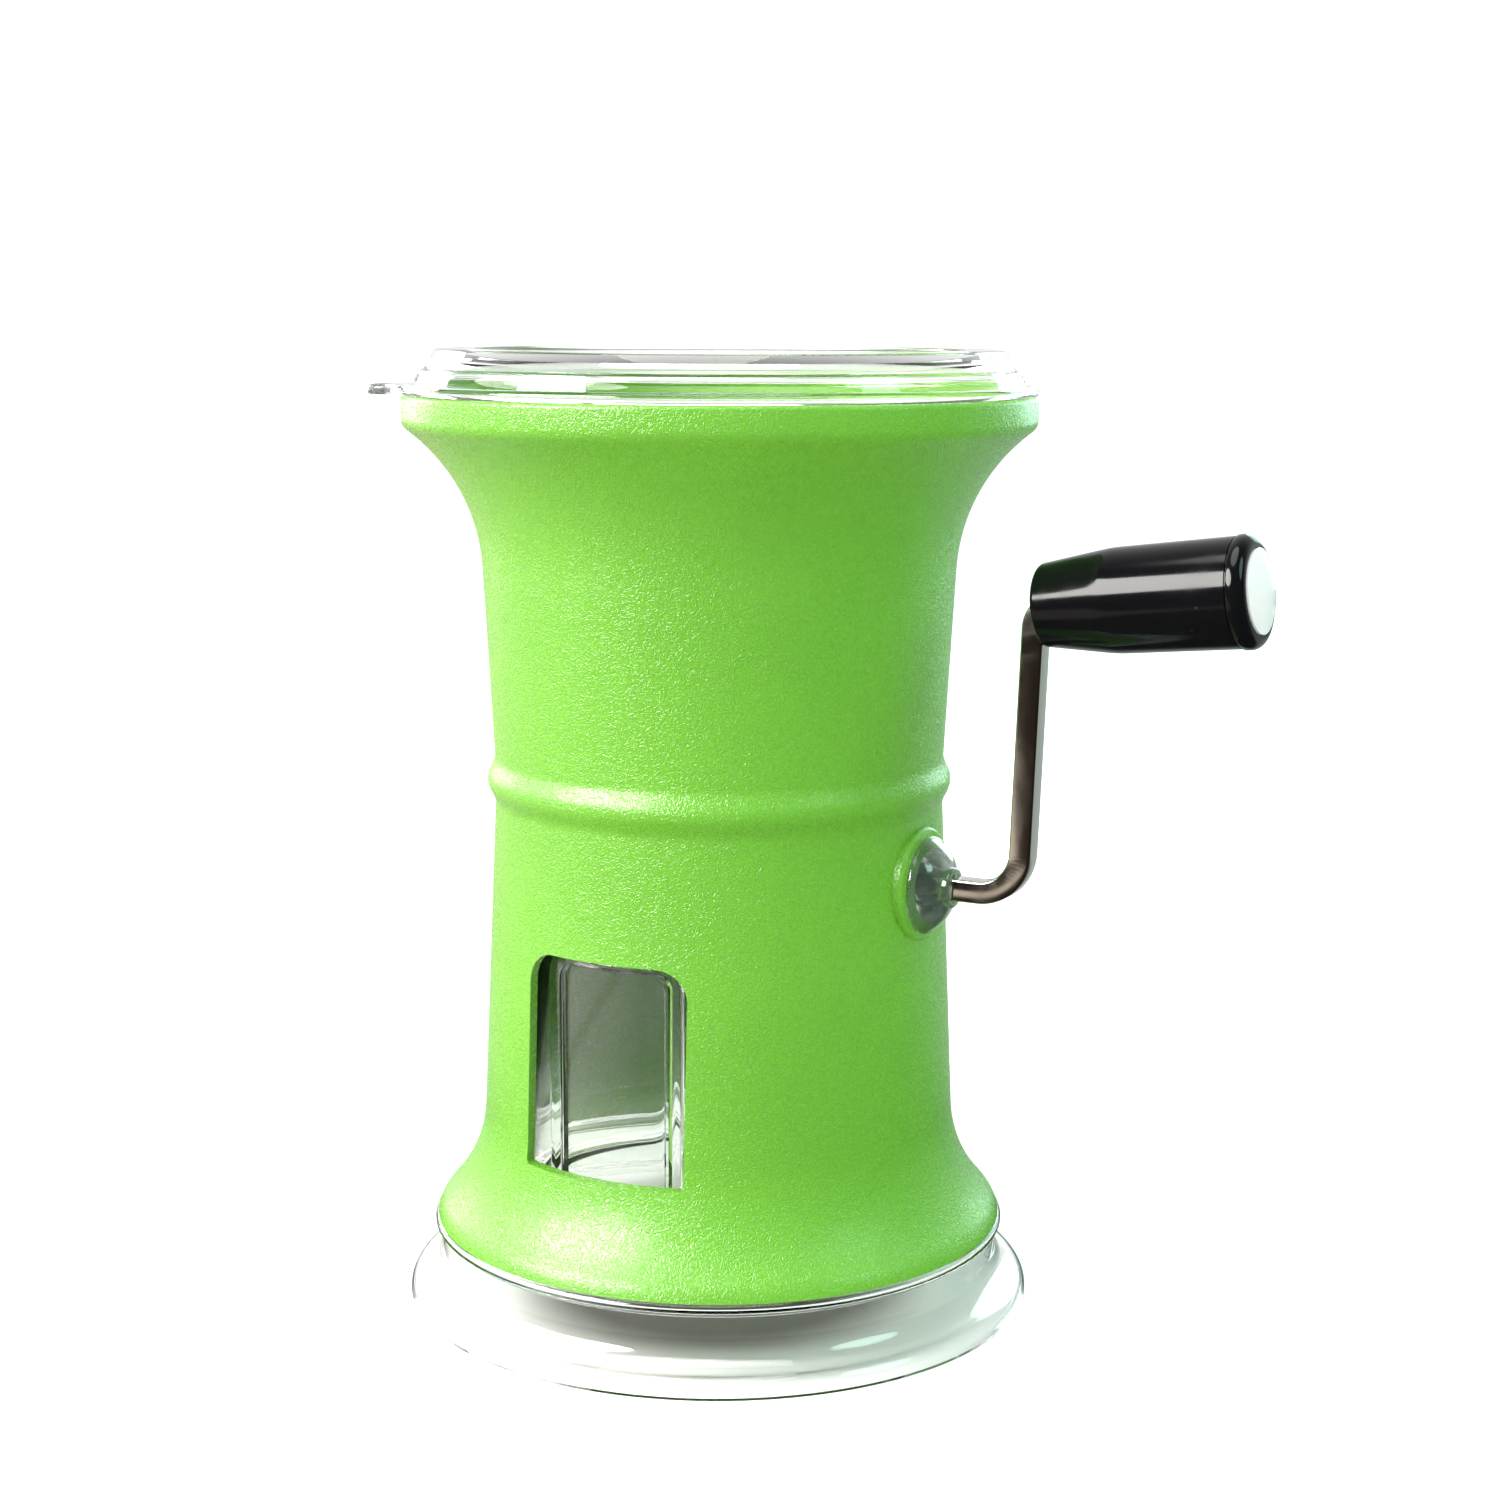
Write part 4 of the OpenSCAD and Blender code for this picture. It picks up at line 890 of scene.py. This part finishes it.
def tableMaterial():  # white to the eye, grey to bounce light, painted shade under the clear foot, painted dim reflections with a painted lit patch
    material, tree, shader, coords = newMaterial("table")
    ray = tree.nodes.new("ShaderNodeLightPath").outputs
    through = mathNode(tree, "GREATER_THAN", ray["Transmission Depth"], 0.5)
    duller = [studio["tableMottle"] * part for part in studio["tableWhite"]]
    plain = mixColours(tree, noiseNode(tree, coords, studio["mottleSize"], 3.0), duller, studio["tableWhite"])
    # painted shade: grey near the axis, white farther out, seen only through clear plastic
    paintedShade = rangeNode(tree, vectorNode(tree, "LENGTH", coords), *studio["paintedShadeFrom"], 0.0, 1.0)
    paintedShade = mixColours(tree, paintedShade, studio["paintedShadeUnderFoot"], studio["tableClear"])
    # painted reflection: to mirror rays the table is dim towards the front and grey behind
    dark = leanNode(tree, coords, frontWay, *studio["darkFrom"], 0.0, 1.0)
    mirrored = mixColours(tree, dark, studio["mirroredBack"], studio["mirroredDark"])
    # painted light: a lighter patch on the left of the table, seen only in reflections, stands in for lamp light
    # falling there
    litPatch = leanNode(tree, coords, -rightWay, *studio["litPatchSide"], 0.0, 1.0)
    litPatch = mathNode(tree, "MULTIPLY", litPatch, leanNode(tree, coords, frontWay, *studio["litPatchEnd"], 1.0, 0.0))
    mirrored = mixColours(tree, litPatch, mirrored, studio["paintedLitPatch"])
    # painted shade: bounce light off the table comes from a grey copy of it, while the eye sees it white
    colour = mixColours(tree, ray["Is Glossy Ray"], studio["tableBounce"], mirrored)
    colour = mixColours(tree, through, colour, paintedShade)
    colour = mixColours(tree, ray["Is Camera Ray"], colour, plain)
    tree.links.new(colour, shader.inputs["Base Color"])
    setInputs(shader, studio["tableSet"])
    return material


def makeTable():
    deselectAll()
    bpy.ops.mesh.primitive_plane_add(size=studio["tableSize"], location=(0, 0, -studio["tableDrop"] * mm))
    bpy.ops.object.transform_apply(location=True, rotation=True, scale=True)
    table = bpy.context.object
    table.name = "table"
    table.data.materials.append(tableMaterial())


def makeLamp(name, look):
    turn, lift = math.radians(camera["azimuth"] + look["turn"]), math.radians(look["lift"])
    levelWay = math.cos(lift) * Vector((math.sin(turn), -math.cos(turn), 0))
    place = lampAim + look["away"] * (levelWay + math.sin(lift) * upWay)
    light = bpy.data.lights.new(name, "AREA")
    light.energy = look["power"]
    light.color = studio[look["tint"]]
    light.shape = "ELLIPSE"
    light.size, light.size_y = look["size"]
    lamp = bpy.data.objects.new(name, light)
    bpy.context.scene.collection.objects.link(lamp)
    lamp.visible_diffuse = look.get("soft", True)
    lamp.visible_glossy = look.get("mirrored", True)
    lamp.location = place
    lamp.rotation_euler = (lampAim - place).to_track_quat("-Z", "Y").to_euler()


def makeSurround():
    world = bpy.data.worlds.new("surround")
    world.use_nodes = True
    tree = world.node_tree
    way = tree.nodes.new("ShaderNodeTexCoord").outputs["Generated"]
    ray = tree.nodes.new("ShaderNodeLightPath").outputs

    def choose(which, yes, no):
        difference = mathNode(tree, "SUBTRACT", yes, no)
        return mathNode(tree, "ADD", no, mathNode(tree, "MULTIPLY", which, difference))

    soft = leanNode(tree, way, -rightWay, *studio["softSpan"], studio["softRight"], studio["softLeft"])
    room = leanNode(tree, way, frontWay, *studio["roomSpan"], studio["roomBright"], studio["roomDim"])
    through = leanNode(tree, way, frontWay, *studio["dimFrom"], studio["backdrop"], studio["throughDim"])
    aside = mathNode(tree, "ABSOLUTE", vectorNode(tree, "DOT_PRODUCT", way, rightWay))
    through = mathNode(tree, "MULTIPLY", through, rangeNode(tree, aside, *studio["flagFrom"], 1.0, studio["flag"]))
    above = leanNode(tree, way, upWay, *studio["flagAbove"], 1.0, studio["flag"])
    through = mathNode(tree, "MULTIPLY", through, above)
    strength = choose(ray["Is Diffuse Ray"], soft, room)
    strength = choose(mathNode(tree, "GREATER_THAN", ray["Transmission Depth"], 0.5), through, strength)
    strength = choose(ray["Is Camera Ray"], studio["backdrop"], strength)
    tint = leanNode(tree, way, rightWay, *studio["softSpan"], 0.0, 1.0)
    tint = mixColours(tree, tint, studio["warm"], studio["cool"])
    tint = mixColours(tree, ray["Is Diffuse Ray"], (1.0, 1.0, 1.0), tint)
    background = tree.nodes["Background"]
    tree.links.new(tint, background.inputs["Color"])
    tree.links.new(strength, background.inputs["Strength"])
    bpy.context.scene.world = world


def makeCamera():
    lens = bpy.data.cameras.new("camera")
    lens.lens = camera["lens"]
    lens.sensor_width = camera["sensor"]
    lens.sensor_fit = "HORIZONTAL"
    view = bpy.data.objects.new("camera", lens)
    bpy.context.scene.collection.objects.link(view)
    yaw, pitch = math.radians(camera["yaw"]), math.radians(camera["pitch"])
    levelWay = math.cos(yaw) * -frontWay + math.sin(yaw) * rightWay
    forward = math.cos(pitch) * levelWay - math.sin(pitch) * upWay
    right = forward.cross(upWay).normalized()
    up = right.cross(forward)
    turn = Matrix((right, up, -forward)).transposed().to_4x4()
    place = (frontWay * camera["distance"] + upWay * camera["height"]) * mm
    view.matrix_world = Matrix.Translation(place) @ turn @ Matrix.Rotation(math.radians(camera["roll"]), 4, "Z")
    bpy.context.scene.camera = view


makeTable()
for name, look in lamps.items():
    makeLamp(name, look)
makeSurround()
makeCamera()
bpy.context.scene.view_settings.view_transform = "Standard"
print("studio ready")

deselectAll()
